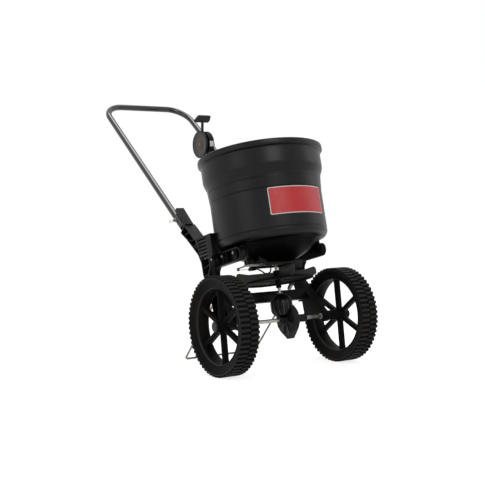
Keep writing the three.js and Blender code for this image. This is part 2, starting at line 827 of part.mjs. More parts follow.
/** Thin ribs across the spine's open pockets, each between two points of (y, z). */
function spineRibs(x0, x1) {
  const runs = [
    [[-10, -10], [110, 70]],
    [[104, 20], [46, 78]],
    [[52, 76], [112, 66]],
    [[98, 130], [140, 120]],
    [[92, 176], [142, 168]],
    [[80, 205], [150, 190]],
    [[80, 228], [160, 214]],
    [[80, 250], [175, 240]],
    [[80, 272], [200, 268]],
    [[118, 300], [190, 262]],
    [[150, 296], [215, 300]],
    [[178, 330], [240, 318]],
  ];
  return runs.map(([from, to]) => {
    const along = new THREE.Vector2(to[0] - from[0], to[1] - from[1]);
    const side = new THREE.Vector2(-along.y, along.x).setLength(ribThickness / 2);
    const corners = [
      [from[0] - side.x, from[1] - side.y],
      [to[0] - side.x, to[1] - side.y],
      [to[0] + side.x, to[1] + side.y],
      [from[0] + side.x, from[1] + side.y],
    ];
    return sidePlate(outline(corners), x0, x1);
  });
}

/** The hopper arm's outline in (y, z): a long bar with a round nose. */
const armOutline = () => [
  [armNose, armBottom, 19],
  [100, armBottom],
  [100, armTop],
  [armNose, armTop, 19],
];

/** The arm that carries the hopper: a ribbed bar with three bolt bosses. */
function hopperArm() {
  const web = frameInner + frameWeb;
  const arm = sidePlate(outline(armOutline(), 4), frameInner, armOuter);
  const pocket = sidePlate(outline(inset(armOutline(), ribThickness), 4), web, armOuter + 1);
  const ribs = armRibY.map((y) => {
    const [y0, y1] = [y - ribThickness / 2, y + ribThickness / 2];
    return block([frameInner + 1, y0, armBottom + 1], [armOuter - 1.5, y1, armTop - 1]);
  });
  const bosses = boltRowY.map((y) => {
    return bar(boltRadius * 3, [frameInner, y, boltRowZ], [web + 2, y, boltRowZ], smallSides);
  });
  return join(cut(arm, pocket), ...ribs, ...bosses);
}

/** A moulded side frame for the right: ribbed spine and leg, axle boss, hopper arm, cradle, tube paddle. */
function sideFrame() {
  const web = frameInner + frameWeb;
  const spine = sidePlate(outline(spineOutline()), frameInner, frameOuter);
  const pocket = sidePlate(outline(inset(spineOutline(), ribThickness)), web, frameOuter + 1);
  const ribs = spineRibs(frameInner + 1, frameOuter - 1.5).map((rib) => common(rib, spine));
  const paddleRoot = common(sidePlate(paddlePlate(), frameInner + 1, tubeInnerX), spine);
  const carriers = [hopperArm(), cradle(), tubePaddle(), paddleRoot, standShelf()];
  const waist = block([frameInner - 1, -60, -60], [frameInner + legInset, 130, legTop]);
  const legWeb = cut(sidePlate(outline(spineOutline()), frameInner, web + legInset), waist);
  const legOnly = block([frameInner - 1, -60, -60], [frameOuter, 130, legTop + frameWeb]);
  const shell = join(cut(spine, pocket, waist), common(legWeb, legOnly));
  const upper = join(shell, ...ribs.map((rib) => cut(rib, waist)), ...carriers);
  const besideBoss = block([frameBossOuter, -60, -60], [frameOuter + 1, 30, 30]);
  const boss = bar(frameBossRadius, [frameInner, 0, 0], [frameBossOuter, 0, 0], roundSides);
  return cut(
    join(cut(upper, besideBoss), boss),
    bar(axleBushRadius + clearance, [frameInner - 1, 0, 0], [frameOuter, 0, 0], roundSides),
    hopperEnvelope(hopperGap),
    ...boltSpaces(),
    ...handleSpaces(),
    ...fixingSpaces(),
  );
}

/** The hopper bolts' holes through the web, and the wells outboard of it for their heads. */
function boltSpaces() {
  const web = frameInner + frameWeb;
  return boltRowY.flatMap((y) => [
    bar(boltRadius + clearance, [frameInner - 1, y, boltRowZ], [web + 5, y, boltRowZ], smallSides),
    bar(boltRadius * 2.1 + 2, [web, y, boltRowZ], [frameOuter + 1, y, boltRowZ], smallSides),
  ]);
}

/** The cradle: a deep slotted block behind the hopper's flank. */
function cradle() {
  const [front, rear] = cradleY;
  const [bottom, top] = cradleZ;
  const section = [
    [front, bottom],
    [rear - 20, bottom],
    [rear, top - 8],
    [rear - 6, top],
    [front, top],
  ];
  const pitch = (top - bottom - 6) / cradleSlots;
  const slots = Array.from({ length: cradleSlots }, (_, i) => {
    const low = bottom + 6 + i * pitch;
    const high = low + cradleSlotHeight;
    return block([frameInner + 18, front + 24, low], [frameOuter + 1, rear - 12, high]);
  });
  return cut(sidePlate(outline(section), frameInner, frameOuter), ...slots);
}

/** The outline in (y, z) of the plate beside the handle tube. */
const paddlePlate = () =>
  outline([
    alongTube(paddleBottomZ, paddleReach),
    alongTube(paddleTopZ, paddleReach),
    alongTube(paddleTopZ, -tubeRadius + 4),
    alongTube(paddleBottomZ, -tubeRadius - 4),
  ]);

/** The plate beside the handle tube, with a thick lip in front of it. */
function tubePaddle() {
  const plateInner = frameInner + paddleInset;
  const lip = outline([
    alongTube(paddleBottomZ, paddleReach),
    alongTube(paddleTopZ, paddleReach),
    alongTube(paddleTopZ, tubeRadius + 1.5),
    alongTube(paddleBottomZ, tubeRadius + 1.5),
  ]);
  return join(
    sidePlate(paddlePlate(), plateInner, tubeInnerX),
    sidePlate(lip, plateInner, frameOuter - 5),
  );
}

/** What the handle tube and its pin take out of the side frame. */
function handleSpaces() {
  const gap = clearance;
  const foot = [handleHalfWidth, ...alongTube(handleFootZ - gap, 0)];
  const beyond = [handleHalfWidth, ...alongTube(paddleTopZ + 60, 0)];
  const [y, z] = [handleLine(handlePinZ), handlePinZ];
  return [
    bar(tubeSeatRadius, foot, beyond, tubeSides),
    bar(handlePinRadius + gap, [frameInner - 5, y, z], [frameOuter, y, z], smallSides),
  ];
}

/** Holes for the cross member's spigots and for the stand wire's ends with their push nuts. */
function fixingSpaces() {
  const web = frameInner + frameWeb;
  const [y, z] = standTop;
  return [
    block(
      [frameInner - 1, crossY[0] + 6 - clearance, crossZ[0] + 6 - clearance],
      [web + 3, crossY[1] - 6 + clearance, crossZ[1] - 6 + clearance],
    ),
    bar(standRadius + clearance, [frameInner - 9, y, z], [frameOuter, y, z], smallSides),
    bar(pushNutRadius + 1.5, [web, y, z], [frameOuter + 1, y, z], smallSides),
  ];
}

/** The channel between the side frames, open to the rear, with a spigot into each frame. */
function crossMember() {
  const end = frameInner - clearance;
  const [y0, y1] = crossY;
  const [z0, z1] = crossZ;
  const wall = 3;
  const channel = cut(
    block([-end, y0, z0], [end, y1, z1]),
    block([-end + 10, y0 + wall, z0 + wall], [end - 10, y1 + 1, z1 - wall]),
  );
  const webs = [-2, -1, 0, 1, 2].map((i) =>
    block([i * 45 - 1.5, y0 + 1, z0 + 1], [i * 45 + 1.5, y1 - 1, z1 - 1]),
  );
  const spigot = block(
    [-frameInner - frameWeb, y0 + 6, z0 + 6],
    [frameInner + frameWeb, y1 - 6, z1 - 6],
  );
  const spigots = cut(spigot, block([-end + 10, y0, z0], [end - 10, y1, z1]));
  return join(channel, ...webs, spigots);
}

/** The wire stand: a U on the ground whose legs rise to the side frames and turn out into them. */
function standWire() {
  const foot = fromGround(standFootY, standRadius);
  const end = frameInner + frameWeb + 7;
  const half = standHalfWidth;
  const [topY, topZ] = standTop;
  return bentRod(
    [
      [-end, topY, topZ],
      [-half, topY, topZ],
      [-half, foot[0], foot[1]],
      [half, foot[0], foot[1]],
      [half, topY, topZ],
      [end, topY, topZ],
    ],
    standBend / 3,
    standRadius,
    8,
    4,
  );
}

/** A point of (y, z) beside the stand's leg: `along` it from its top and `above` its centreline. */
function besideStand(along, above) {
  const foot = fromGround(standFootY, standRadius);
  const down = new THREE.Vector2(foot[0] - standTop[0], foot[1] - standTop[1]).normalize();
  return [
    standTop[0] + down.x * along - down.y * above,
    standTop[1] + down.y * along + down.x * above,
  ];
}

/** The moulded shelf on a side frame that the stand's leg bears up against. */
function standShelf() {
  const under = standRadius + clearance;
  const section = [
    besideStand(-14, under + 2),
    besideStand(-4, under),
    besideStand(36, under),
    besideStand(36, under + 5),
    besideStand(-14, under + 14),
  ];
  return sidePlate(outline(section), frameInner - 8, frameInner + frameWeb);
}

/** A push nut that holds the stand wire's end in the right side frame. */
function pushNut() {
  const seat = frameInner + frameWeb + clearance;
  const [y, z] = standTop;
  const nut = bar(pushNutRadius, [seat, y, z], [seat + 2, y, z], roundSides);
  return cut(nut, bar(standRadius + clearance, [seat - 1, y, z], [seat + 3, y, z], smallSides));
}

// ---------------------------------------------------------------- handle
/** The handle: one bent tube, drilled through both legs for its clevis pins. */
function handle() {
  const foot = [handleLine(handleFootZ), handleFootZ];
  const top = [handleLine(handleBarZ), handleBarZ];
  const half = handleHalfWidth;
  const tube = bentRod(
    [
      [-half, ...foot],
      [-half, ...top],
      [half, ...top],
      [half, ...foot],
    ],
    handleBendRadius,
    tubeRadius,
    tubeSides,
    8,
  );
  const [y, z] = [handleLine(handlePinZ), handlePinZ];
  const dialY = handleLine(dialZ);
  return cut(
    tube,
    bar(handlePinRadius + clearance, [-half - 20, y, z], [half + 20, y, z], smallSides),
    bar(dialBoltRadius + clearance, [half - 20, dialY, dialZ], [half + 20, dialY, dialZ], smallSides),
  );
}

/** A clevis pin through the right side frame and tube, its head inboard, cross-drilled outboard. */
function handlePin() {
  const [y, z] = [handleLine(handlePinZ), handlePinZ];
  const headSeat = frameInner + paddleInset - clearance;
  const shank = bar(handlePinRadius, [headSeat, y, z], [pinTip, y, z], smallSides);
  const head = bar(handlePinRadius + 3, [headSeat - 3, y, z], [headSeat, y, z], roundSides);
  const drilled = bar(cotterWireRadius + clearance, [cotterPlane, y - 10, z], [cotterPlane, y + 10, z], 6);
  return cut(join(shank, head), drilled);
}

/** A hair cotter: a straight leg through the pin and a sprung leg bowed round it. */
function hairCotter() {
  const [y, z] = [handleLine(handlePinZ), handlePinZ];
  const bow = handlePinRadius + 2.6;
  const corners = [
    [-9, 0],
    [36, 0],
    [36, 9],
    [14, 5],
    [5, bow],
    [-5, bow],
    [-12, bow + 1],
  ].map(([along, up]) => [cotterPlane, y + along, z + up]);
  return bentRod(corners, 4, cotterWireRadius, 6, 2);
}

// ---------------------------------------------------------------- bevel pair
/**
 * A straight bevel gear about Z, its pitch cone's apex at the origin. Every tooth line runs to the
 * apex, so the small end is the large end scaled towards it. The hub stands behind the large end.
 */
function bevelGear({ teeth, mate, pitchRadius, bore, hubRadius, hubEnd, phase }) {
  const cone = Math.atan2(teeth, mate);
  const depth = pitchRadius / Math.tan(cone);
  const smallEnd = 1 - (gearFaceWidth * Math.sin(cone)) / pitchRadius;
  const module = (2 * pitchRadius) / teeth;
  const pitch = (2 * Math.PI) / teeth;
  const root = 1.15 * module;
  const rising = [
    [-root, -0.34 * pitch],
    [0, -0.215 * pitch],
    [0.85 * module, -0.1 * pitch],
  ];
  const tooth = [...rising, ...rising.map(([height, offset]) => [height, -offset]).reverse()];
  const turns = Array.from({ length: teeth }, (_, i) => phase + i * pitch);
  const toothed = (scale) =>
    turns.flatMap((turn) =>
      tooth.map(([height, offset]) => {
        const radius = (pitchRadius + height * Math.cos(cone)) * scale;
        const z = (depth - height * Math.sin(cone)) * scale;
        return [radius * Math.cos(turn + offset), radius * Math.sin(turn + offset), z];
      }),
    );
  const plain = (radius, z) => ringAt(z, turns.map((turn) => [turn, radius]));
  const backZ = depth + root * Math.sin(cone);
  const hole = bore / Math.cos(pitch / 2);
  return ringSkin([
    toothed(smallEnd),
    toothed(1),
    plain(hubRadius + 1, backZ + 1.5),
    plain(hubRadius, hubEnd),
    plain(hole, hubEnd),
    plain(hole, backZ * smallEnd),
  ]);
}

/** The large gear, on the axle to the right of the apex, with its pin hole. */
function largeGear() {
  const gear = bevelGear({
    teeth: gearTeeth,
    mate: pinionTeeth,
    pitchRadius: gearPitchRadius,
    bore: axleRadius + clearance,
    hubRadius: gearHubRadius,
    hubEnd: gearHubEnd,
    phase: Math.PI / gearTeeth,
  }).rotateY(Math.PI / 2);
  return cut(gear, bar(gearPinRadius + clearance, [gearPinX, -20, 0], [gearPinX, 20, 0], smallSides));
}

/** The pinion over the axle, about Z, with its hub above and its pin hole. */
function pinion() {
  const gear = bevelGear({
    teeth: pinionTeeth,
    mate: gearTeeth,
    pitchRadius: (gearPitchRadius * pinionTeeth) / gearTeeth,
    bore: shaftRadius + clearance,
    hubRadius: pinionHubRadius,
    hubEnd: pinionHubTop,
    phase: 0,
  });
  return cut(gear, bar(smallPinRadius + clearance, [0, -15, pinionPinZ], [0, 15, pinionPinZ], smallSides));
}

// ---------------------------------------------------------------- gearbox
/** The gearbox's outside: a drum round the large gear, a tower over the pinion, and two axle bosses. */
function gearboxOutside() {
  const r = housingRadius;
  const drum = turnedX(
    [
      [0, drumLeft],
      [r - 3, drumLeft],
      [r, drumLeft + 3],
      [r, drumRight - 3],
      [r - 3, drumRight],
      [0, drumRight],
    ],
    drumFacets,
  );
  const keelOutline = outline([[-36, -34], [-6, -keelDepth, 4], [6, -keelDepth, 4], [36, -34]], 2);
  const keel = sidePlate(keelOutline, drumLeft + 2, drumRight - 2);
  const tower = turned(
    [
      [0, 12],
      [towerRadius - 8, 14],
      [towerRadius, 30],
      [towerRadius, 54],
      [towerRadius - 5, 67],
      [towerNeckRadius, 79],
      [towerNeckRadius, towerTop],
      [0, towerTop],
    ],
    20,
  );
  const towerRibs = Array.from({ length: towerRibCount }, (_, i) => {
    const rib = block([towerNeckRadius - 2, -1.3, 24], [towerRadius + 1.4, 1.3, 58]);
    return rib.rotateZ((2 * Math.PI * (i + 0.5)) / towerRibCount);
  });
  const bosses = turnedX(
    [
      [0, leftBossEnd],
      [gearboxBossRadius, leftBossEnd],
      [gearboxBossRadius, drumLeft - 4],
      [gearboxBossRadius + 5, drumLeft + 1],
      [gearboxBossRadius + 5, drumRight - 1],
      [gearboxBossRadius, drumRight + 10],
      [gearboxBossRadius, rightBossEnd],
      [0, rightBossEnd],
    ],
    roundSides,
  );
  const faceRibs = Array.from({ length: drumRibCount }, (_, i) => {
    const rib = block([drumLeft - 2.5, -1.5, 8], [drumRight + 2.5, 1.5, r - 5]);
    return rib.rotateX((2 * Math.PI * (i + 0.5)) / drumRibCount);
  });
  return join(drum, keel, tower, ...towerRibs, bosses, ...faceRibs);
}

/** The room inside the gearbox: round the large gear, round the pinion, and for the bush in the neck. */
function gearboxInside() {
  const [left, right] = [drumLeft + housingWall, drumRight - housingWall];
  const gearRoom = bar(gearPitchRadius + 3, [left, 0, 0], [right, 0, 0], drumFacets);
  const roomRadius = towerRadius - housingWall - 2;
  const pinionRoom = turned(
    [
      [0, 16],
      [roomRadius - 6, 16],
      [roomRadius, 28],
      [roomRadius, 57],
      [pinionHubRadius + 2, pinionHubTop + 1],
      [0, pinionHubTop + 1],
    ],
    roundSides,
  );
  const neck = bar(shaftBushRadius + clearance, [0, 0, 50], [0, 0, towerTop + 1], roundSides);
  const [boreStart, boreEnd] = [leftBossEnd - 1, rightBossEnd + 1];
  const axleBore = bar(axleRadius + clearance, [boreStart, 0, 0], [boreEnd, 0, 0], roundSides);
  return join(gearRoom, pinionRoom, neck, axleBore);
}

/** One half of the gearbox, split along the plane of its two shafts: side -1 is the front. */
function gearboxHalf(side) {
  const far = side * 100;
  const split = (side * clearance) / 2;
  const half = block([-60, Math.min(far, split), -90], [120, Math.max(far, split), 110]);
  return common(cut(gearboxOutside(), gearboxInside()), half);
}

/** The plain bush in the gearbox's neck. */
function neckBush() {
  return turned(
    [
      [shaftRadius + clearance, pinionHubTop + 2],
      [shaftBushRadius, pinionHubTop + 2],
      [shaftBushRadius, towerTop + clearance],
      [shaftBushRadius + 3, towerTop + clearance],
      [shaftBushRadius + 3, towerTop + 1.8],
      [shaftRadius + clearance, towerTop + 1.8],
    ],
    roundSides,
  );
}

// ---------------------------------------------------------------- impeller and its shaft
/** The upright shaft from the pinion to the agitator, cross-drilled for its three pins. */
function impellerShaft() {
  const holes = [pinionPinZ, impellerPinZ, agitatorPinZ].map((z) =>
    bar(smallPinRadius + clearance, [0, -10, z], [0, 10, z], 6),
  );
  return cut(bar(shaftRadius, [0, 0, shaftBottom], [0, 0, shaftTop], roundSides), ...holes);
}

/** A pin across the shaft at height z. */
const shaftPin = (z, length) => bar(smallPinRadius, [0, -length / 2, z], [0, length / 2, z], 6);

/** One impeller vane: a radial fin with rounded outer corners, its foot in the disc. */
function impellerVane(turn) {
  const tip = impellerDiameter / 2;
  const corners = [
    [impellerHubRadius - 3, impellerDiscZ + 1],
    [impellerHubRadius + 10, impellerDiscZ - 6],
    [tip - 26, impellerDiscZ - 6],
    [tip, impellerDiscZ + 6, 7],
    [tip, vaneTipTop, 9],
    [tip - vaneTipRise, vaneTop],
    [impellerHubRadius - 3, vaneTop],
  ];
  const fin = outline(corners, 3);
  return sidePlate(fin, -vaneThickness / 2, vaneThickness / 2).rotateZ(turn - Math.PI / 2);
}

/** The impeller: a dished disc with a rolled edge, its hub and four vanes. */
function impeller() {
  const edge = impellerDiscRadius;
  const z = impellerDiscZ;
  const body = turned(
    [
      [0, impellerHubBottom],
      [impellerHubRadius - 4, impellerHubBottom],
      [impellerHubRadius - 2, z - 4],
      [edge - 16, z - 4],
      [edge - 13, z - 9],
      [edge, z - 9],
      [edge, z - 6],
      [edge - 9, z - 5],
      [edge - 12, z],
      [impellerHubRadius, z],
      [impellerHubRadius - 1.5, impellerHubTop],
      [0, impellerHubTop],
    ],
    impellerFacets,
  );
  const vanes = Array.from({ length: impellerVanes }, (_, i) =>
    impellerVane(impellerPhase + (2 * Math.PI * i) / impellerVanes),
  );
  const bore = bar(shaftRadius + clearance, [0, 0, 90], [0, 0, 170], roundSides);
  const pinHole = bar(smallPinRadius + clearance, [0, -30, impellerPinZ], [0, 30, impellerPinZ], 6);
  return cut(join(body, ...vanes), bore, pinHole);
}

/** The agitator inside the hopper: a hub with two swept fingers over the ports. */
function agitator() {
  const floor = agitatorFloorZ;
  const hub = bar(10, [0, 0, floor], [0, 0, floor + 18], 12);
  const route = [
    [0, 0, floor + 9],
    [26, 0, floor + 5],
    [40, 10, floor + 5],
    [44, 10, floor + 22],
  ];
  const fingers = [0, Math.PI].map((turn) => bentRod(route, 4, 2.5, 6, 1).rotateZ(turn));
  const bore = bar(shaftRadius + clearance, [0, 0, floor - 1], [0, 0, floor + 30], roundSides);
  const pinHole = bar(smallPinRadius + clearance, [0, -15, agitatorPinZ], [0, 15, agitatorPinZ], 6);
  return cut(join(hub, ...fingers), bore, pinHole);
}

// ---------------------------------------------------------------- shutter under the hopper floor
/** The sliding shutter plate: two ports, a slot that clears the shaft, and a pointed tail. */
function shutterSlide() {
  const half = shutterHalfWidth;
  const top = hopperFloorZ - clearance;
  const plan = outline([
    [shutterTail, -3],
    [shutterTail + 16, -16],
    [shutterTail + 48, -22],
    [-62, -half],
    [48, -half, 6],
    [48, half, 6],
    [-62, half],
    [shutterTail + 48, 22],
    [shutterTail + 16, 16],
    [shutterTail, 3],
  ]);
  const slotHalf = shaftBushRadius + 1;
  const slot = outline([
    [-shutterTravel - slotHalf, -slotHalf, slotHalf - 1],
    [slotHalf, -slotHalf, slotHalf - 1],
    [slotHalf, slotHalf, slotHalf - 1],
    [-shutterTravel - slotHalf, slotHalf, slotHalf - 1],
  ]);
  const ports = [-1, 1].map((side) =>
    circle(portX - shutterTravel, side * portY, portDiameter / 2, roundSides),
  );
  const plate = levelPlate(plan, top - shutterThickness, top, [slot, ...ports]);
  const [x, y, z] = [wireAnchorX, cableLine.y, cableLine.z];
  const arm = block([x - 4, 4, top - shutterThickness], [x + 4, y + 3, top]);
  const post = block([x - 3, y - 3, z - 3], [x + 3, y + 3, top]);
  const wireHole = bar(wireDiameter / 2 + clearance, [x - 1, y, z], [x + 4, y, z], 6);
  return cut(join(plate, arm, post), wireHole);
}

/** The guide under the floor: two lipped rails, a block at each end, and the cable's bracket. */
function shutterGuide() {
  const inner = shutterHalfWidth + clearance * 2;
  const outer = inner + 7;
  const under = hopperFloorZ - clearance * 2 - shutterThickness;
  const rails = [-1, 1].flatMap((side) => {
    const [a, b] = [side * inner, side * outer].sort((p, q) => p - q);
    const [c, d] = [side * (inner - 7), side * outer].sort((p, q) => p - q);
    return [
      block([-71, a, under - 4], [guideEnd, b, hopperFloorZ - clearance]),
      block([-71, c, under - 4], [guideEnd, d, under - clearance]),
      block([-88, a, hopperFloorZ + 1], [-66, b, hopperFloorZ + 20]),
      block([-71, a, under - 4], [-61, b, hopperFloorZ + 16]),
    ];
  });
  const tailHalf = 14;
  const tailBlock = join(
    block([-100, -tailHalf, hopperFloorZ + 0.6], [-78, tailHalf, hopperFloorZ + 25]),
    block([-88, -outer, hopperFloorZ + 0.6], [-78, outer, hopperFloorZ + 10]),
  );
  const nose = outline([
    [guideEnd - guideNose, -outer],
    [guideEnd, -outer, 10],
    [guideEnd, outer, 10],
    [guideEnd - guideNose, outer],
  ]);
  const endBlock = levelPlate(nose, guideBottom, under - clearance);
  const [fx, fy, fz] = [ferruleX, cableLine.y, cableLine.z];
  const bracket = block([fx + 4, outer - 1, fz - 5], [fx + 22, fy + 6, fz + 5]);
  const bracketArm = block([fx + 4, outer - 4, fz - 5], [fx + 22, outer + 1, under]);
  const bore = bar(ferruleRadius + clearance, [fx, fy, fz], [fx + 40, fy, fz], 12);
  const body = join(...rails, tailBlock, endBlock, bracket, bracketArm);
  return cut(body, hopperEnvelope(clearance * 2), bore);
}

// ---------------------------------------------------------------- flow control and its cable
/** A hollow ferrule that guides the shutter wire, along X. */
function ferrule() {
  const [x, y, z] = [ferruleX, cableLine.y, cableLine.z];
  const tube = bar(ferruleRadius, [x, y, z], [x + ferruleLength, y, z], 12);
  return cut(tube, bar(wireDiameter / 2 + clearance, [x - 1, y, z], [x + ferruleLength - 1, y, z], 6));
}

/** The wire on the shutter: it slides in the ferrule as the shutter moves. */
function shutterWire() {
  const { y, z } = cableLine;
  return bar(wireDiameter / 2, [wireAnchorX, y, z], [ferruleX + 3, y, z], 6);
}

/** The cable's sheath: from the ferrule, behind the shaft, up the right side frame and handle leg. */
function cableSheath() {
  const route = new THREE.CatmullRomCurve3(
    cableRoute.map((point) => new THREE.Vector3(...point)),
    false,
    "centripetal",
  );
  return rodAlong(route, cableDiameter / 2, smallSides, cableSteps);
}

/** The bare wire from the sheath's upper end to the lever's drum. */
function dialWire() {
  const [from, to] = [sheathEnd, drumTangent];
  const start = new THREE.Vector3(...from);
  const run = new THREE.Vector3(...to).sub(start);
  const first = start.clone().addScaledVector(run, clearance / run.length());
  return bar(wireDiameter / 2, first.toArray(), to, 6);
}

/** A clip that ties the cable to the right handle leg where that is at height z. */
function cableClip(z) {
  const along = (x, reach) => [
    [x, ...alongTube(z - reach, 0)],
    [x, ...alongTube(z + reach, 0)],
  ];
  const loop = bar(tubeRadius + 2, ...along(handleHalfWidth, 4), 12);
  const eye = bar(cableDiameter / 2 + 2.2, ...along(cableX, 4), smallSides);
  const tube = bar(tubeSeatRadius, ...along(handleHalfWidth, 9), tubeSides);
  const cable = bar(cableDiameter / 2 + clearance, ...along(cableX, 9), smallSides);
  return cut(join(loop, eye), tube, cable);
}

/** A disc about X round the dial's centre, from profile points [radius, x]. */
const dialTurned = (profile) => turnedX(profile, dialFacets).translate(0, handleLine(dialZ), dialZ);

/** The outer half of the flow control: a cup with a saddle on the handle tube and the cable's stop. */
function dialCase() {
  const r = dialRadius - 2;
  const back = leverX + dialHalfWidth;
  const cup = dialTurned([
    [0, leverX + 4],
    [r - 14, leverX + 4],
    [r - 10, leverX + 3.2],
    [r, leverX + 3.2],
    [r, back - 4],
    [r - 4, back],
    [0, back],
  ]);
  const y = handleLine(dialZ);
  const saddle = block([back - 8, y - 16, dialZ - 16], [handleHalfWidth, y + 16, dialZ + 16]);
  const tube = bar(
    tubeSeatRadius,
    [handleHalfWidth, ...alongTube(dialZ - 90, 0)],
    [handleHalfWidth, ...alongTube(dialZ + 90, 0)],
    tubeSides,
  );
  const [sx, sy, sz] = sheathEnd;
  const stop = block([sx - 4.4, sy - 7, sz - 5], [back - 2, sy + 9, sz + 14]);
  const onWire = (distance) => [
    sx,
    sy + distance * Math.sin(handleRake),
    sz + distance * Math.cos(handleRake),
  ];
  const sheathBore = bar(cableDiameter / 2 + clearance, onWire(-20), onWire(clearance), 10);
  const wireBore = bar(wireDiameter / 2 + clearance, onWire(0), onWire(40), 8);
  return cut(join(cup, cut(saddle, tube), stop), dialBore(), sheathBore, wireBore);
}

/** The inner half: a round face with a raised rim, clear of the lever. */
function dialPlate() {
  const r = dialRadius;
  const face = leverX - dialHalfWidth + 2;
  const disc = dialTurned([
    [0, face],
    [r - 8, face],
    [r - 6, face - 2],
    [r - 2, face - 2],
    [r, face],
    [r, leverX - 6],
    [r - 9, leverX - 6],
    [r - 9, leverX - 5],
    [0, leverX - 5],
  ]);
  return cut(disc, dialBore());
}

/** The bolt's way through the whole flow control, along X. */
function dialBore() {
  const y = handleLine(dialZ);
  return bar(dialBoltRadius + clearance, [leverX - 40, y, dialZ], [handleHalfWidth + 40, y, dialZ], 12);
}

/** Turns a shape drawn about the axle, lever upright, to the lever's place at rest. */
const atDial = (shape) => shape.rotateX(leverRest).translate(0, handleLine(dialZ), dialZ);

/** The lever: a cable drum between the dial's halves, with a stem that rises out of the slot. */
function controlLever() {
  const r = drumRadius;
  const groove = r - wireDiameter / 2 - clearance;
  const drum = dialTurned([
    [0, leverX - 4],
    [r + 3, leverX - 4],
    [r + 3, leverX - 2],
    [groove, leverX - 1.2],
    [groove, leverX + 1.2],
    [r + 3, leverX + 2],
    [r + 3, leverX + 3.3],
    [0, leverX + 3.3],
  ]);
  const stem = block(
    [leverX - stemHalf, -stemDepth / 2, r - 4],
    [leverX + stemHalf, stemDepth / 2, leverReach],
  );
  return cut(join(drum, atDial(stem)), dialBore());
}

/** The cross grip pressed on top of the lever. */
function leverGrip() {
  const half = gripWidth / 2;
  const low = leverReach - gripHeight / 2;
  const high = low + gripHeight;
  const front = outline([
    [-half, low + 4, 5],
    [-13, low, 3],
    [13, low, 3],
    [half, low + 4, 5],
    [half, high, 7],
    [-half, high, 7],
  ]);
  const body = slab(front, gripDepth).rotateX(Math.PI / 2).translate(leverX, gripDepth / 2, 0);
  const socket = block(
    [leverX - stemHalf - clearance, -stemDepth / 2 - clearance, low - 5],
    [leverX + stemHalf + clearance, stemDepth / 2 + clearance, leverReach + clearance],
  );
  return cut(atDial(body), atDial(socket));
}

/** The bolt through the dial, the lever and the handle tube, its head inboard. */
function dialBolt() {
  const y = handleLine(dialZ);
  const seat = leverX - dialHalfWidth + 2 - clearance;
  const end = handleHalfWidth + tubeRadius + 9;
  const shank = bar(dialBoltRadius, [seat, y, dialZ], [end, y, dialZ], 12);
  const head = bar(dialBoltRadius * 2, [seat - 4.5, y, dialZ], [seat, y, dialZ], 6);
  return join(shank, head);
}

/** Its nut, outboard of the handle tube. */
function dialNut() {
  const y = handleLine(dialZ);
  const seat = handleHalfWidth + tubeRadius + clearance;
  const nut = bar(dialBoltRadius * 2, [seat, y, dialZ], [seat + 5.5, y, dialZ], 6);
  return cut(nut, dialBore());
}

// ---------------------------------------------------------------- the machine
/** The wheels and all that turns with them, level with the ground. */
function rollingGear() {
  const group = new THREE.Group();
  for (const [name, side, place] of [["drive_wheel", -1, "left"], ["idler_wheel", 1, "right"]]) {
    const half = new THREE.Group();
    half.position.x = side * wheelCentre;
    half.rotation.y = (side * Math.PI) / 2;
    half.add(piece(name, wheel(-side * spokeLean), finishes.tyre));
    half.add(piece(`hub_cap_${place}`, hubCap(), finishes.acetal));
    group.add(half);
  }
  const cotterLength = 2 * (capSkirtRadius - 3.5);
  const drivePinX = drivePinDepth - wheelCentre;
  const drivePin = crossPin(drivePinX, drivePinRadius, hubDiameter + 1, drivePinRadius + 1.5);
  group.add(
    piece("axle", axle(), finishes.steel),
    piece("drive_pin", drivePin, finishes.zinc),
    piece("axle_pin_left", crossPin(-cotterX, cotterRadius, cotterLength), finishes.zinc),
    piece("axle_pin_right", crossPin(cotterX, cotterRadius, cotterLength), finishes.zinc),
    piece("bevel_gear", largeGear(), finishes.acetal),
    piece("gear_pin", crossPin(gearPinX, gearPinRadius, gearHubRadius * 2), finishes.zinc),
  );
  return group;
}

/** The two side frames, what joins them, and the stand. */
function frameGroup() {
  const group = new THREE.Group();
  for (const [side, place] of [[1, "right"], [-1, "left"]]) {
    const here = side === 1 ? (shape) => shape : mirrored;
    group.add(
      piece(`side_frame_${place}`, here(sideFrame()), finishes.moulding),
      piece(`axle_bush_${place}`, here(axleBush()), finishes.nylon),
      piece(`push_nut_${place}`, here(pushNut()), finishes.zinc),
      piece(`handle_pin_${place}`, here(handlePin()), finishes.zinc),
      piece(`hair_cotter_${place}`, here(hairCotter()), finishes.steel),
    );
  }
  group.add(
    piece("cross_member", crossMember(), finishes.moulding),
    piece("stand_wire", standWire(), finishes.zinc),
    piece("handle_tube", handle(), finishes.paint),
  );
  return group;
}

/** The hopper, its bolts and its floor bush. */
function hopperGroup() {
  const group = new THREE.Group();
  group.add(piece("hopper", hopper(), finishes.hopper), piece("floor_bush", floorBush(), finishes.nylon));
  hopperBoltSeats().forEach((seat, i) => {
    group.add(piece(`hopper_bolt_${i + 1}`, hopperBolt(seat), finishes.zinc));
  });
  return group;
}

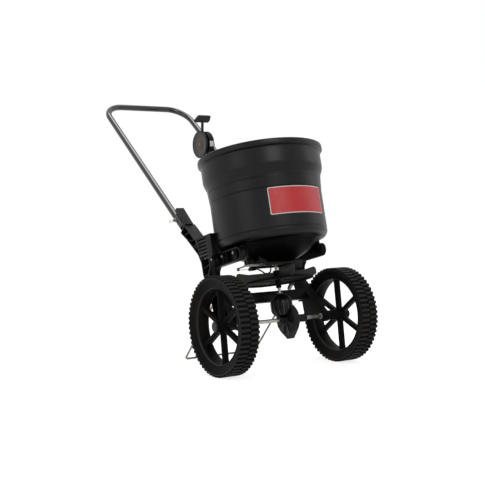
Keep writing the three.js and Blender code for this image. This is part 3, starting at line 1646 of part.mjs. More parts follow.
/** The gearbox, the upright shaft and all that spins with it. */
function impellerGroup() {
  const group = new THREE.Group();
  group.add(
    piece("gearbox_front", gearboxHalf(-1), finishes.moulding),
    piece("gearbox_rear", gearboxHalf(1), finishes.moulding),
    piece("neck_bush", neckBush(), finishes.nylon),
    piece("bevel_pinion", pinion(), finishes.acetal),
    piece("pinion_pin", shaftPin(pinionPinZ, 2 * pinionHubRadius), finishes.zinc),
    piece("impeller_shaft", impellerShaft(), finishes.steel),
    piece("impeller", impeller(), finishes.moulding),
    piece("impeller_pin", shaftPin(impellerPinZ, 2 * impellerHubRadius - 5), finishes.zinc),
    piece("agitator", agitator(), finishes.moulding),
    piece("agitator_pin", shaftPin(agitatorPinZ, 24), finishes.zinc),
  );
  return group;
}

/** The shutter, its cable and the lever that works it. */
function meteringGroup() {
  const group = new THREE.Group();
  group.add(
    piece("shutter_slide", shutterSlide(), finishes.zinc),
    piece("shutter_guide", shutterGuide(), finishes.moulding),
    piece("cable_ferrule", ferrule(), finishes.zinc),
    piece("shutter_wire", shutterWire(), finishes.steel),
    piece("cable_sheath", cableSheath(), finishes.sheath),
    piece("dial_wire", dialWire(), finishes.steel),
    piece("cable_clip_lower", cableClip(clipZ[0]), finishes.acetal),
    piece("cable_clip_upper", cableClip(clipZ[1]), finishes.acetal),
    piece("dial_case", dialCase(), finishes.moulding),
    piece("dial_plate", dialPlate(), finishes.dial),
    piece("control_lever", controlLever(), finishes.acetal),
    piece("lever_grip", leverGrip(), finishes.moulding),
    piece("dial_bolt", dialBolt(), finishes.zinc),
    piece("dial_nut", dialNut(), finishes.zinc),
  );
  return group;
}

const spreader = new THREE.Group();
spreader.position.set(0, -footprintMiddle, axleHeight);
const machine = new THREE.Group();
machine.rotation.x = -lean;
machine.add(frameGroup(), hopperGroup(), impellerGroup(), meteringGroup());
spreader.add(rollingGear(), machine);

export default spreader;
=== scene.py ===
"""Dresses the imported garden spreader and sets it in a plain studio.

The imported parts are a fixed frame: each visible piece made here rides on one of their bodies, or
stands for one of their nodes. Sizes are in metres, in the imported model's own frame: +Z up, +X to
the user's right, +Y towards the handle. Outlines and profiles are in millimetres, and so are the
sizes that a class says are. Pieces of the machine proper are drawn in its tilted frame, whose
origin is on the axle and whose Z axis is the impeller shaft, and then moved into place.
"""

from __future__ import annotations

import json
import logging
import math
from collections.abc import Iterable, Sequence
from dataclasses import dataclass, field
from enum import Enum
from functools import cache
from typing import NamedTuple, Protocol

import bmesh
import bpy
from mathutils import Matrix, Vector

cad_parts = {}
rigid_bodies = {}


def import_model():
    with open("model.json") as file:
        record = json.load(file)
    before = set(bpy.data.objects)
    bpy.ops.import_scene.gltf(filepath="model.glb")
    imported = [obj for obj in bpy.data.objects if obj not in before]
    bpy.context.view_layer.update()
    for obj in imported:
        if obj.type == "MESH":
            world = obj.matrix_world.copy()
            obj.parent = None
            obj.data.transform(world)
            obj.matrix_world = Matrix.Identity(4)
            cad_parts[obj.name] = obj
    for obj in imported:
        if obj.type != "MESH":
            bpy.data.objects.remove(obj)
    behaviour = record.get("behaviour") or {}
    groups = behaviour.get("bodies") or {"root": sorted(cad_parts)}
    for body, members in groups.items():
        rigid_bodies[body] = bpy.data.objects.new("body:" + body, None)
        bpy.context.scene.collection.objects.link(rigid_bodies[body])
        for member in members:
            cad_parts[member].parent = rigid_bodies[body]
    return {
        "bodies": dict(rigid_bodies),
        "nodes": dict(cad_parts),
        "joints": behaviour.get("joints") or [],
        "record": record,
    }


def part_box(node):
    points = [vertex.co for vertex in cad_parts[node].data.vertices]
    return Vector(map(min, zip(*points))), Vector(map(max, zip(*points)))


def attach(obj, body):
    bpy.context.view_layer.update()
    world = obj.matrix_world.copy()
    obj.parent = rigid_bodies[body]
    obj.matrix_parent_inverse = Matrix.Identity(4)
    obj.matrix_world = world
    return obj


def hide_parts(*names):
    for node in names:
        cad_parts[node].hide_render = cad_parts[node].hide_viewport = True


Frame = dict
Pair = tuple[float, float]
Point = tuple[float, float, float]
Profile = Sequence[tuple[float, ...]]
Material = bpy.types.Material
Mesh = bpy.types.Mesh
Object = bpy.types.Object
Shape = bmesh.types.BMesh
Socket = bpy.types.NodeSocket
Tree = bpy.types.NodeTree

log = logging.getLogger("spreader")
MM = 0.001
TOUCH = 1e-6  # lengths below this count as none
WELD = 1e-7  # points this close are one point
PACKED_WELD = 2e-6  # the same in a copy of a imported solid
CREASE = 40.0  # edges under this angle, in degrees, are smooth
QUARTER = math.pi / 2
UPRIGHT = Matrix.Rotation(QUARTER, 4, "X")
ZERO: Point = (0.0, 0.0, 0.0)
EVEN: Point = (1.0, 1.0, 1.0)
MIDDLE: Pair = (0.3, 0.7)  # the span that holds most of a noise's values


class Side(Enum):
    """A side of the machine, seen by the user behind the handle."""

    LEFT = -1
    RIGHT = 1

    def facing(self) -> Matrix:
        """Returns the turn that points a part's own Z outwards on this side."""
        return Matrix.Rotation(self.value * QUARTER, 4, "Y")


class Step(Enum):
    """What one closed mesh does to another."""

    JOIN = "UNION"
    CUT = "DIFFERENCE"


# ------------------------------------------------------------------ node trees
class Nodes:
    """The nodes of one tree, whatever it makes."""

    def __init__(self, tree: Tree) -> None:
        """Takes a tree and empties it."""
        self.tree = tree
        tree.nodes.clear()

    def add(self, kind: str, **given: object) -> bpy.types.Node:
        """Adds a node with its properties and its inputs.

        Args:
            kind: The node's type.
            **given: A name in small letters is a property. Any other is an input, by its name with
                underscores for spaces or by an underscore and its number, and takes a value or a
                socket to link.

        Returns:
            The new node.
        """
        node = self.tree.nodes.new(kind)
        for key, value in given.items():
            if key.islower():
                setattr(node, key, value)
                continue
            target = node.inputs[int(key[1:]) if key[0] == "_" else key.replace("_", " ")]
            if isinstance(value, Socket):
                self.tree.links.new(value, target)
            else:
                target.default_value = value
        return node

    def out(self, kind: str, **given: object) -> Socket:
        """Adds a node as `add` does and returns its first output."""
        return self.add(kind, **given).outputs[0]

    def sum_of(self, operation: str, *values: float | Socket, **given: object) -> Socket:
        """Returns a Math node's result on up to three values."""
        inputs = {f"_{i}": value for i, value in enumerate(values)}
        return self.out("ShaderNodeMath", operation=operation, **given, **inputs)


# ------------------------------------------------------------------ finishes
def linear(code: str) -> tuple[float, float, float, float]:
    """Turns a written colour into the linear values that the shader sockets take.

    Args:
        code: The colour as six hexadecimal digits.

    Returns:
        Red, green, blue and an alpha of one.
    """
    values = [int(code[i : i + 2], 16) / 255 for i in (0, 2, 4)]
    channels = [v / 12.92 if v <= 0.04045 else ((v + 0.055) / 1.055) ** 2.4 for v in values]
    return (*channels, 1.0)


class Pattern(NamedTuple):
    """A noise and how it is read."""

    scale: float  # its frequency, per metre
    detail: float  # its octaves
    band: Pair = MIDDLE  # the values between which it rises
    share: Pair = (0.0, 1.0)  # what it gives below and above them
    stretch: Point = EVEN


class Grain(NamedTuple):
    """The fine bumps of a surface."""

    scale: float  # their frequency, per metre
    detail: float  # their octaves
    depth: float
    strength: float
    stretch: Point = EVEN


class ShaderBench(Nodes):
    """The nodes of one material: a shader fed by patterns on the object's own coordinates."""

    def __init__(self, name: str) -> None:
        """Starts an empty material."""
        self.material = bpy.data.materials.new(name)
        self.material.use_nodes = True
        super().__init__(self.material.node_tree)
        self.place = self.add("ShaderNodeTexCoord").outputs["Object"]

    def mapped(self, stretch: Point = EVEN, turn: Point = ZERO, shift: Point = ZERO) -> Socket:
        """Returns the object's coordinates, stretched, turned and shifted."""
        moves = {"Location": shift, "Rotation": turn, "Scale": stretch}
        return self.out("ShaderNodeMapping", Vector=self.place, **moves)

    def noise(self, scale: float, detail: float, stretch: Point = EVEN) -> Socket:
        """Returns a noise of that frequency, with that many octaves."""
        where = self.mapped(stretch)
        return self.out("ShaderNodeTexNoise", Vector=where, Scale=scale, Detail=detail)

    def spread(self, value: Socket, band: Pair, share: Pair) -> Socket:
        """Returns the value with the band carried onto the share, and held there beyond it."""
        limits = dict(zip(("From_Min", "From_Max", "To_Min", "To_Max"), (*band, *share)))
        return self.out("ShaderNodeMapRange", Value=value, **limits)

    def read(self, pattern: Pattern) -> Socket:
        """Returns a pattern's noise, read over its band."""
        noise = self.noise(pattern.scale, pattern.detail, pattern.stretch)
        return self.spread(noise, pattern.band, pattern.share)

    def blend(self, share: Socket, first: str | Socket, second: str) -> Socket:
        """Mixes two colours.

        Args:
            share: How much of the second colour shows.
            first: The first colour, as a code or as a socket.
            second: The second colour's code.

        Returns:
            The mixed colour.
        """
        start = linear(first) if isinstance(first, str) else first
        mix = self.add("ShaderNodeMix", data_type="RGBA", _0=share, _6=start, _7=linear(second))
        return mix.outputs[2]

    def finish(
        self, tint: Socket, rough: Socket, grain: Grain | None = None, **levels: object
    ) -> Material:
        """Feeds the shader.

        Args:
            tint: The colour.
            rough: The roughness.
            grain: The bumps of the surface, where it has them.
            **levels: The shader's other inputs, with underscores for spaces.

        Returns:
            The finished material.
        """
        if grain:
            height = self.noise(grain.scale, grain.detail, grain.stretch)
            sizes = {"Strength": grain.strength, "Distance": grain.depth}
            levels["Normal"] = self.out("ShaderNodeBump", Height=height, **sizes)
        shader = self.out("ShaderNodeBsdfPrincipled", Base_Color=tint, Roughness=rough, **levels)
        self.add("ShaderNodeOutputMaterial", Surface=shader)
        return self.material


class Finish(Protocol):
    """Anything that makes a material."""

    def material(self) -> Material:
        """Builds the material."""


@dataclass(frozen=True)
class MouldedPlastic:
    """Moulded plastic: a colour that drifts towards a chalky bloom, fine grain, uneven gloss."""

    name: str
    colour: str
    bloom: str
    roughness: Pair
    gloss: float
    blotch: float
    octaves: float = 5.0
    flow: Point = (1.0, 1.0, 0.55)
    pale: Pair = (0.46, 0.74)  # the blotches' values where the bloom sets in
    dull: Pair = (0.3, 0.75)  # and where the gloss goes
    specks: Pattern = Pattern(170.0, 2.0, (0.62, 0.78), (0.0, 0.5))
    grain: Grain = Grain(900.0, 2.0, 0.00007, 0.6)

    def material(self) -> Material:
        """Builds the material.

        Returns:
            The finished material.
        """
        bench = ShaderBench(self.name)
        blotches = bench.noise(self.blotch, self.octaves, self.flow)
        shade = bench.blend(bench.read(self.specks), self.colour, self.bloom)
        tint = bench.blend(bench.spread(blotches, self.pale, (0.0, 1.0)), shade, self.bloom)
        rough = bench.spread(blotches, self.dull, self.roughness)
        return bench.finish(tint, rough, self.grain, Specular_IOR_Level=self.gloss)


@dataclass(frozen=True)
class RotoMoulded:
    """Roto-moulded plastic: satin and a little cloudy, with painted shade below its lower edge:
    near black, with less shine.
    """

    name: str = "hopper polyethylene"
    colour: str = "0c0d10"
    cloud: str = "1c1b1b"
    # near black: the painted shade of the underside below the edge
    under: str = "040405"
    lean: float = 0.2063
    edge: Pair = (0.3135, 0.3195)  # the heights along the leaning axis where the painted shade below gives way to the satin
    gloss: Pair = (0.04, 0.2)  # below the edge and above it
    roughness: Pair = (0.3, 0.42)
    clouds: Pattern = Pattern(6.0, 5.0, (0.42, 0.74), (0.0, 0.9), (1.0, 1.0, 0.6))
    grain: Grain = Grain(900.0, 2.0, 0.00006, 0.6)

    def material(self) -> Material:
        """Builds the material.

        Returns:
            The finished material.
        """
        bench = ShaderBench(self.name)
        leaning = bench.mapped(turn=(self.lean, 0.0, 0.0))
        height = bench.add("ShaderNodeSeparateXYZ", _0=leaning).outputs["Z"]
        satin = bench.blend(bench.read(self.clouds), self.colour, self.cloud)
        # painted shade: below the edge the colour goes to the near-black under colour
        tint = bench.blend(bench.spread(height, self.edge, (1.0, 0.0)), satin, self.under)
        rough = bench.read(self.clouds._replace(band=MIDDLE, share=self.roughness))
        shine = bench.spread(height, self.edge, self.gloss)
        return bench.finish(tint, rough, self.grain, Specular_IOR_Level=shine)


@dataclass(frozen=True)
class DustyPoly:
    """Blow-moulded wheel plastic: matt, dusty in broad patches, with painted highlights in light
    grey on its rim's lips, and lighter grey on the lug tips.
    """

    name: str = "wheel poly"
    colour: str = "0f1011"
    dust: str = "2b2420"
    # light grey: painted highlight on the rim's lips, and lighter lug tips
    highlight_and_tip_grey: str = "504e4c"
    axle: Pair = (-0.3742, 0.15247)  # y and z of the wheel's axis
    # radius, half width and share of light grey of each lip, as a painted highlight, and of the
    # lugs' tips
    lip_highlights_and_tips: Profile = ((0.1158, 0.0019, 0.9), (0.1447, 0.0016, 0.9), (0.152, 0.004, 0.34))
    roughness: Pair = (0.42, 0.64)
    gloss: float = 0.04
    patches: Pattern = Pattern(7.0, 4.0, (0.5, 0.8), (0.0, 0.75))
    scuffs: Pattern = Pattern(60.0, 6.0, (0.6, 0.72), (0.0, 0.45), (1.0, 2.2, 2.2))
    grain: Grain = Grain(420.0, 3.0, 0.00012, 0.55)

    def material(self) -> Material:
        """Builds the material.

        Returns:
            The finished material.
        """
        bench = ShaderBench(self.name)
        scuffed = bench.blend(bench.read(self.scuffs), self.colour, self.dust)
        tint = bench.blend(bench.read(self.patches), scuffed, self.dust)
        y, z = self.axle
        across = bench.mapped((0.0, 1.0, 1.0), shift=(0.0, -y, -z))
        reach = bench.add("ShaderNodeVectorMath", operation="LENGTH", _0=across).outputs["Value"]
        # painted highlights: thin light grey arcs on the lips, and lighter lug tips
        for middle, half, share in self.lip_highlights_and_tips:
            away = bench.sum_of("ABSOLUTE", bench.sum_of("SUBTRACT", reach, middle))
            tint = bench.blend(bench.spread(away, (0.0, half), (share, 0.0)), tint, self.highlight_and_tip_grey)
        rough = bench.read(self.scuffs._replace(band=MIDDLE, share=self.roughness))
        return bench.finish(tint, rough, self.grain, Specular_IOR_Level=self.gloss)


@dataclass(frozen=True)
class GlossPaint:
    """Gloss powder coat on steel tube: faint orange peel and a few dull rub marks."""

    name: str = "black powder coat"
    colour: str = "0d0b0a"
    rubbed: str = "1c1815"
    gloss: float = 0.62
    rubs: Pattern = Pattern(16.0, 5.0, (0.58, 0.74), (0.0, 0.8))
    roughness: Pattern = Pattern(30.0, 4.0, (0.35, 0.7), (0.1, 0.2))
    peel: Grain = Grain(380.0, 1.0, 0.00002, 0.4)

    def material(self) -> Material:
        """Builds the material.

        Returns:
            The finished material.
        """
        bench = ShaderBench(self.name)
        tint = bench.blend(bench.read(self.rubs), self.colour, self.rubbed)
        rough = bench.read(self.roughness)
        return bench.finish(tint, rough, self.peel, Specular_IOR_Level=self.gloss)


@dataclass(frozen=True)
class PlatedSteel:
    """Plated or drawn steel: drawn streaks along an axis and a dull tarnish in patches."""

    name: str
    colour: str
    tarnish: str
    roughness: Pair
    streaks: Point = (1.0, 1.0, 14.0)
    patches: Pattern = Pattern(28.0, 5.0, (0.48, 0.72), (0.0, 0.85))
    lines: Grain = Grain(160.0, 3.0, 0.00003, 0.5)

    def material(self) -> Material:
        """Builds the material.

        Returns:
            The finished material.
        """
        bench = ShaderBench(self.name)
        tint = bench.blend(bench.read(self.patches), self.colour, self.tarnish)
        lines = self.lines._replace(stretch=self.streaks)
        noise = bench.noise(lines.scale, lines.detail, lines.stretch)
        return bench.finish(tint, bench.spread(noise, MIDDLE, self.roughness), lines, Metallic=1.0)


@dataclass(frozen=True)
class PrintedVinyl:
    """Printed vinyl: an ink colour with pale rubbed specks and a soft sheen."""

    name: str
    colour: str
    rubbed: str
    wear: float
    gloss: float = 0.35
    specks: Pattern = Pattern(210.0, 6.0, (0.58, 0.7))
    patches: Pattern = Pattern(24.0, 3.0, (0.4, 0.7))
    roughness: Pattern = Pattern(60.0, 3.0, share=(0.3, 0.46))

    def material(self) -> Material:
        """Builds the material.

        Returns:
            The finished material.
        """
        bench = ShaderBench(self.name)
        specks = bench.read(self.specks._replace(share=(0.0, self.wear)))
        patches = bench.read(self.patches._replace(share=(0.0, self.wear / 2)))
        ink = bench.blend(specks, self.colour, self.rubbed)
        tint = bench.blend(patches, ink, self.rubbed)
        return bench.finish(tint, bench.read(self.roughness), Specular_IOR_Level=self.gloss)


FINISHES: dict[str, Finish] = {
    "hopper": RotoMoulded(),
    "moulding": MouldedPlastic("frame moulding", "0b0c0e", "19191c", (0.38, 0.54), 0.15, 22.0),
    # the spreading plate's own finish, also lent to the far side frame as painted shade
    "plate": MouldedPlastic("spreading plate", "08090a", "171717", (0.55, 0.7), 0.05, 22.0),
    "vane": MouldedPlastic("vane plastic", "2b2b29", "3a3a37", (0.42, 0.56), 0.2, 22.0),
    # a lighter, glossier copy of the frame moulding: partly real gloss, partly painted highlight on
    # the ribs
    "rib": MouldedPlastic("gearbox ribs", "15161a", "23242a", (0.2, 0.3), 0.6, 22.0),
    # pale and not metallic: a painted glint for the zinc screw heads and washers
    "screw": MouldedPlastic("bright screw", "cfcdc6", "a29f96", (0.3, 0.4), 0.6, 60.0),
    "wheel_poly": DustyPoly(),
    "painted_tube": GlossPaint(),
    "steel": PlatedSteel("drawn steel", "a5a4a0", "65625c", (0.21, 0.41), (1.0, 14.0, 14.0)),
    "zinc": PlatedSteel("zinc plate", "787571", "4a4743", (0.27, 0.47)),
    "nylon": MouldedPlastic("natural nylon", "cfcdc2", "b7b3a6", (0.42, 0.52), 0.45, 40.0),
    "acetal": MouldedPlastic("dark acetal", "101113", "1f2022", (0.34, 0.46), 0.25, 26.0),
    "dial_face": MouldedPlastic("dial face", "423d3a", "57514c", (0.4, 0.54), 0.35, 30.0),
    "cable": MouldedPlastic("cable sheath", "0b0b0b", "1a1a1a", (0.36, 0.48), 0.3, 60.0),
    "pale": PrintedVinyl("pale vinyl", "dfdcd8", "b9b4ae", 0.35),
    "red": PrintedVinyl("red vinyl", "c22f33", "cc5655", 0.4),
}


@cache
def finished(name: str) -> Material:
    """Returns the material of a finish, by the record's slot or the finish's own key."""
    return FINISHES[name].material()


# ------------------------------------------------------------------ shapes
def scaled(profile: Profile) -> list[tuple[float, ...]]:
    """Turns points and radii written in millimetres into metres."""
    return [tuple(value * MM for value in point) for point in profile]


def smooth_corners(corners: Profile, steps: int = 5) -> list[Pair]:
    """Rounds the corners of a closed outline.

    Args:
        corners: Points (u, v) or (u, v, radius); a radius rounds that corner.
        steps: Segments in each round.

    Returns:
        The points of the outline with its rounds.
    """
    points: list[Pair] = []
    for i, (u, v, *rest) in enumerate(corners):
        radius = rest[0] if rest else 0.0
        if not radius:
            points.append((u, v))
            continue
        here = Vector((u, v))
        back = (Vector(corners[i - 1][:2]) - here).normalized()
        ahead = (Vector(corners[(i + 1) % len(corners)][:2]) - here).normalized()
        half = math.acos(max(-1.0, min(1.0, back.dot(ahead)))) / 2
        centre = here + (back + ahead).normalized() * radius / math.sin(half)
        start = here + back * radius / math.tan(half) - centre
        out = here - centre
        sweep = math.copysign(math.pi - 2 * half, start.x * out.y - start.y * out.x)
        for k in range(steps + 1):
            turned = Matrix.Rotation(sweep * k / steps, 2) @ start + centre
            points.append((turned.x, turned.y))
    return points


def skin(shape: Shape, rings: Sequence[Sequence[bmesh.types.BMVert]]) -> None:
    """Fills the bands between rings of vertices, each ring joined to the next.

    Args:
        shape: The mesh that the rings belong to.
        rings: Closed rings of equally many vertices. A ring may be one vertex, repeated.
    """
    for low, high in zip(rings, rings[1:]):
        for k in range(len(low)):
            n = (k + 1) % len(low)
            corners = list(dict.fromkeys((low[k], low[n], high[n], high[k])))
            if len(corners) > 2:
                shape.faces.new(corners)


def lathe(profile: Profile, segments: int) -> Shape:
    """Turns a profile about Z into a closed skin.

    Args:
        profile: Points (radius, height). It starts and ends on the axis, or closes on itself.
        segments: Facets round the axis.

    Returns:
        A new mesh, its poles single points.
    """
    shape = bmesh.new()
    turns = [2 * math.pi * k / segments for k in range(segments)]
    rings = []
    for radius, height in profile:
        if radius < TOUCH:
            rings.append([shape.verts.new((0, 0, height))] * segments)
        else:
            spots = [(radius * math.cos(t), radius * math.sin(t), height) for t in turns]
            rings.append([shape.verts.new(spot) for spot in spots])
    if profile[0][0] > TOUCH:
        rings.append(rings[0])
    skin(shape, rings)
    return shape


def loft(sections: Iterable[Iterable[Point]]) -> Shape:
    """Skins a run of closed sections and closes both ends.

    Args:
        sections: The sections, of equally many points.

    Returns:
        A new mesh.
    """
    shape = bmesh.new()
    rings = [[shape.verts.new(point) for point in section] for section in sections]
    for end in (rings[0], rings[-1]):
        shape.faces.new(end)
    skin(shape, rings)
    return shape


def plate(outline: Sequence[Pair], low: float, high: float) -> Shape:
    """Extrudes an outline in X and Y from one height to another."""
    return loft([(u, v, height) for u, v in outline] for height in (low, high))


def rod_shape(radius: float, low: float, high: float, sides: int) -> Shape:
    """Builds a straight round rod along Z from one height to another."""
    return lathe([(0, low), (radius, low), (radius, high), (0, high)], sides)


def as_mesh(shape: Shape, name: str, place: Matrix | None = None) -> Mesh:
    """Frees a shape into a mesh, its faces turned outwards.

    Args:
        shape: The shape.
        name: The mesh's name.
        place: Where it goes, if it isn't drawn there.

    Returns:
        The mesh, in its place.
    """
    bmesh.ops.remove_doubles(shape, verts=shape.verts, dist=WELD)
    if place is not None:
        bmesh.ops.transform(shape, matrix=place, verts=shape.verts)
    bmesh.ops.recalc_face_normals(shape, faces=shape.faces)
    mesh = bpy.data.meshes.new(name)
    shape.to_mesh(mesh)
    shape.free()
    return mesh


def slab(name: str, outline: Profile, half: float, ease: float, steps: int, rounds: int) -> Mesh:
    """Builds an upright slab with eased rims, all its sizes in millimetres.

    Args:
        name: The mesh's name.
        outline: Its outline in X and Z, with the radii of its corners.
        half: Half its thickness.
        ease: The width of its eased rims.
        steps: Segments across a rim.
        rounds: Segments in each round corner.

    Returns:
        The mesh.
    """
    shape = plate(smooth_corners(scaled(outline), rounds), -half * MM, half * MM)
    rims = [edge for edge in shape.edges if abs(edge.verts[0].co.z - edge.verts[1].co.z) < TOUCH]
    bmesh.ops.bevel(shape, geom=rims, offset=ease * MM, segments=steps, affect="EDGES")
    return as_mesh(shape, name, UPRIGHT)


def joined(name: str, meshes: Iterable[Mesh]) -> Mesh:
    """Makes one mesh of several, which are removed.

    Args:
        name: The new mesh's name.
        meshes: The meshes.

    Returns:
        The new mesh.
    """
    whole = bmesh.new()
    for mesh in meshes:
        whole.from_mesh(mesh)
        bpy.data.meshes.remove(mesh)
    result = bpy.data.meshes.new(name)
    whole.to_mesh(result)
    whole.free()
    return result


def on_scene(name: str, data: bpy.types.ID) -> Object:
    """Puts a mesh, lamp or camera into the scene as an object."""
    obj = bpy.data.objects.new(name, data)
    bpy.context.scene.collection.objects.link(obj)
    return obj


def applied(host: Object, *helpers: Object) -> Mesh:
    """Applies an object's modifiers, and removes it and its helpers with their meshes.

    Args:
        host: The object with the modifiers.
        *helpers: The objects that they use.

    Returns:
        The result as a plain mesh.
    """
    graph = bpy.context.evaluated_depsgraph_get()
    result = bpy.data.meshes.new_from_object(host.evaluated_get(graph), depsgraph=graph)
    for obj in (host, *helpers):
        data = obj.data
        bpy.data.objects.remove(obj)
        bpy.data.meshes.remove(data)
    return result


def carve(name: str, base: Mesh, steps: Iterable[tuple[Step, Mesh]]) -> Mesh:
    """Joins and cuts closed meshes.

    Args:
        name: The name of the object for the work.
        base: The mesh to start from.
        steps: What each further mesh does, in order.

    Returns:
        The result as a plain mesh.
    """
    host = on_scene(name, base)
    tools = []
    for step, mesh in steps:
        tools.append(on_scene(name + " tool", mesh))
        modifier = host.modifiers.new(step.value, "BOOLEAN")
        modifier.operation = step.value
        modifier.solver = "EXACT"
        modifier.object = tools[-1]
    return applied(host, *tools)


def set_out(name: str, mesh: Mesh, material: Material, crease: float = CREASE) -> Object:
    """Makes a mesh an object of the scene, smooth but for its creases.

    Args:
        name: The piece's name.
        mesh: Its mesh, already in place.
        material: Its material.
        crease: The angle between faces, in degrees, above which an edge stays sharp.

    Returns:
        The new object, at the origin.
    """
    mesh.materials.clear()
    mesh.materials.append(material)
    mesh.polygons.foreach_set("use_smooth", [True] * len(mesh.polygons))
    mesh.set_sharp_from_angle(angle=math.radians(crease))
    return on_scene(name, mesh)


# ------------------------------------------------------------------ geometry node trees
class ShapeTree(Nodes):
    """A Geometry Nodes tree with named inputs, ending in Realize Instances and Set Material."""

    def __init__(self, name: str) -> None:
        """Starts the tree with a geometry input and output."""
        super().__init__(bpy.data.node_groups.new(name, "GeometryNodeTree"))
        for way in ("INPUT", "OUTPUT"):
            sort = "NodeSocketGeometry"
            self.tree.interface.new_socket("Geometry", in_out=way, socket_type=sort)
        self.source = self.add("NodeGroupInput")

    def size(self, name: str, sort: str = "Float") -> Socket:
        """Adds a named input and returns its socket inside the tree."""
        self.tree.interface.new_socket(name, in_out="INPUT", socket_type="NodeSocket" + sort)
        return self.source.outputs[name]

    def close(self, geometry: Socket) -> Tree:
        """Ends the tree in Realize Instances and Set Material.

        Args:
            geometry: What the tree makes.

        Returns:
            The finished tree.
        """
        realised = self.out("GeometryNodeRealizeInstances", Geometry=geometry)
        material = self.size("Material", "Material")
        dressed = self.out("GeometryNodeSetMaterial", Geometry=realised, Material=material)
        self.add("NodeGroupOutput", _0=dressed)
        return self.tree


@cache
def ring_tree() -> Tree:
    """Builds the tree that sets copies of a shape in a ring about Z.

    Returns:
        A tree with inputs Shape, Count and First turn.
    """
    build = ShapeTree("ring of copies")
    shape = build.size("Shape", "Object")
    count = build.size("Count", "Int")
    first = build.size("First turn")
    step = build.sum_of("DIVIDE", 2 * math.pi, count)
    turn = build.sum_of("MULTIPLY_ADD", build.out("GeometryNodeInputIndex"), step, first)
    copies = build.out(
        "GeometryNodeInstanceOnPoints",
        Points=build.out("GeometryNodePoints", Count=count),
        Instance=build.add("GeometryNodeObjectInfo", Object=shape).outputs["Geometry"],
        Rotation=build.out("ShaderNodeCombineXYZ", Z=turn),
    )
    return build.close(copies)


@cache
def sweep_tree() -> Tree:
    """Builds the tree that turns a run of edges into a round rod with rounded bends.

    Returns:
        A tree with inputs Radius, Sides, Bend and Bend steps.
    """
    build = ShapeTree("rod along a path")
    radius = build.size("Radius")
    sides = build.size("Sides", "Int")
    bend = {"Radius": build.size("Bend"), "Count": build.size("Bend steps", "Int")}
    path = build.out("GeometryNodeMeshToCurve", Mesh=build.source.outputs[0])
    rounded = build.out(
        "GeometryNodeFilletCurve", mode="POLY", Curve=path, Limit_Radius=True, **bend
    )
    circle = build.out(
        "GeometryNodeCurvePrimitiveCircle", mode="RADIUS", Resolution=sides, Radius=radius
    )
    rod = build.out("GeometryNodeCurveToMesh", Curve=rounded, Profile_Curve=circle, Fill_Caps=True)
    return build.close(rod)


def grown(name: str, tree: Tree, finish: str, path: Mesh | None = None, **sizes: object) -> Mesh:
    """Evaluates a tree with these sizes.

    Args:
        name: The name of the object for the work.
        tree: The tree.
        finish: The finish that its Set Material node gives.
        path: The mesh the tree starts from.
        **sizes: Values of the tree's named inputs, with underscores for spaces. A mesh given for
            an object input is wrapped in an object for the run.

    Returns:
        The result as a plain mesh.
    """
    carrier = on_scene(name, path or bpy.data.meshes.new(name))
    modifier = carrier.modifiers.new("make", "NODES")
    modifier.node_group = tree
    inputs = [item for item in tree.interface.items_tree if item.in_out == "INPUT"]
    sockets = {item.name.replace(" ", "_"): item.identifier for item in inputs}
    modifier[sockets["Material"]] = finished(finish)
    helpers = []
    for key, value in sizes.items():
        if isinstance(value, Mesh):
            value = on_scene(name + " unit", value)
            helpers.append(value)
        modifier[sockets[key]] = value
    return applied(carrier, *helpers)


def ring(name: str, shape: Mesh, count: int, first: float, finish: str) -> Mesh:
    """Sets copies of a shape in a ring about Z, the first of them turned by that angle."""
    return grown(name, ring_tree(), finish, Shape=shape, Count=count, First_turn=first)


def bent_rod(name: str, route: Sequence[Point], finish: str, **sizes: float) -> Mesh:
    """Sweeps a round rod along a run of points with rounded bends.

    Args:
        name: The rod's name.
        route: The points.
        finish: Its finish.
        **sizes: Values of the tree's other inputs.

    Returns:
        The rod.
    """
    path = bpy.data.meshes.new(name)
    path.from_pydata(route, [(i, i + 1) for i in range(len(route) - 1)], [])
    return grown(name, sweep_tree(), finish, path, **sizes)


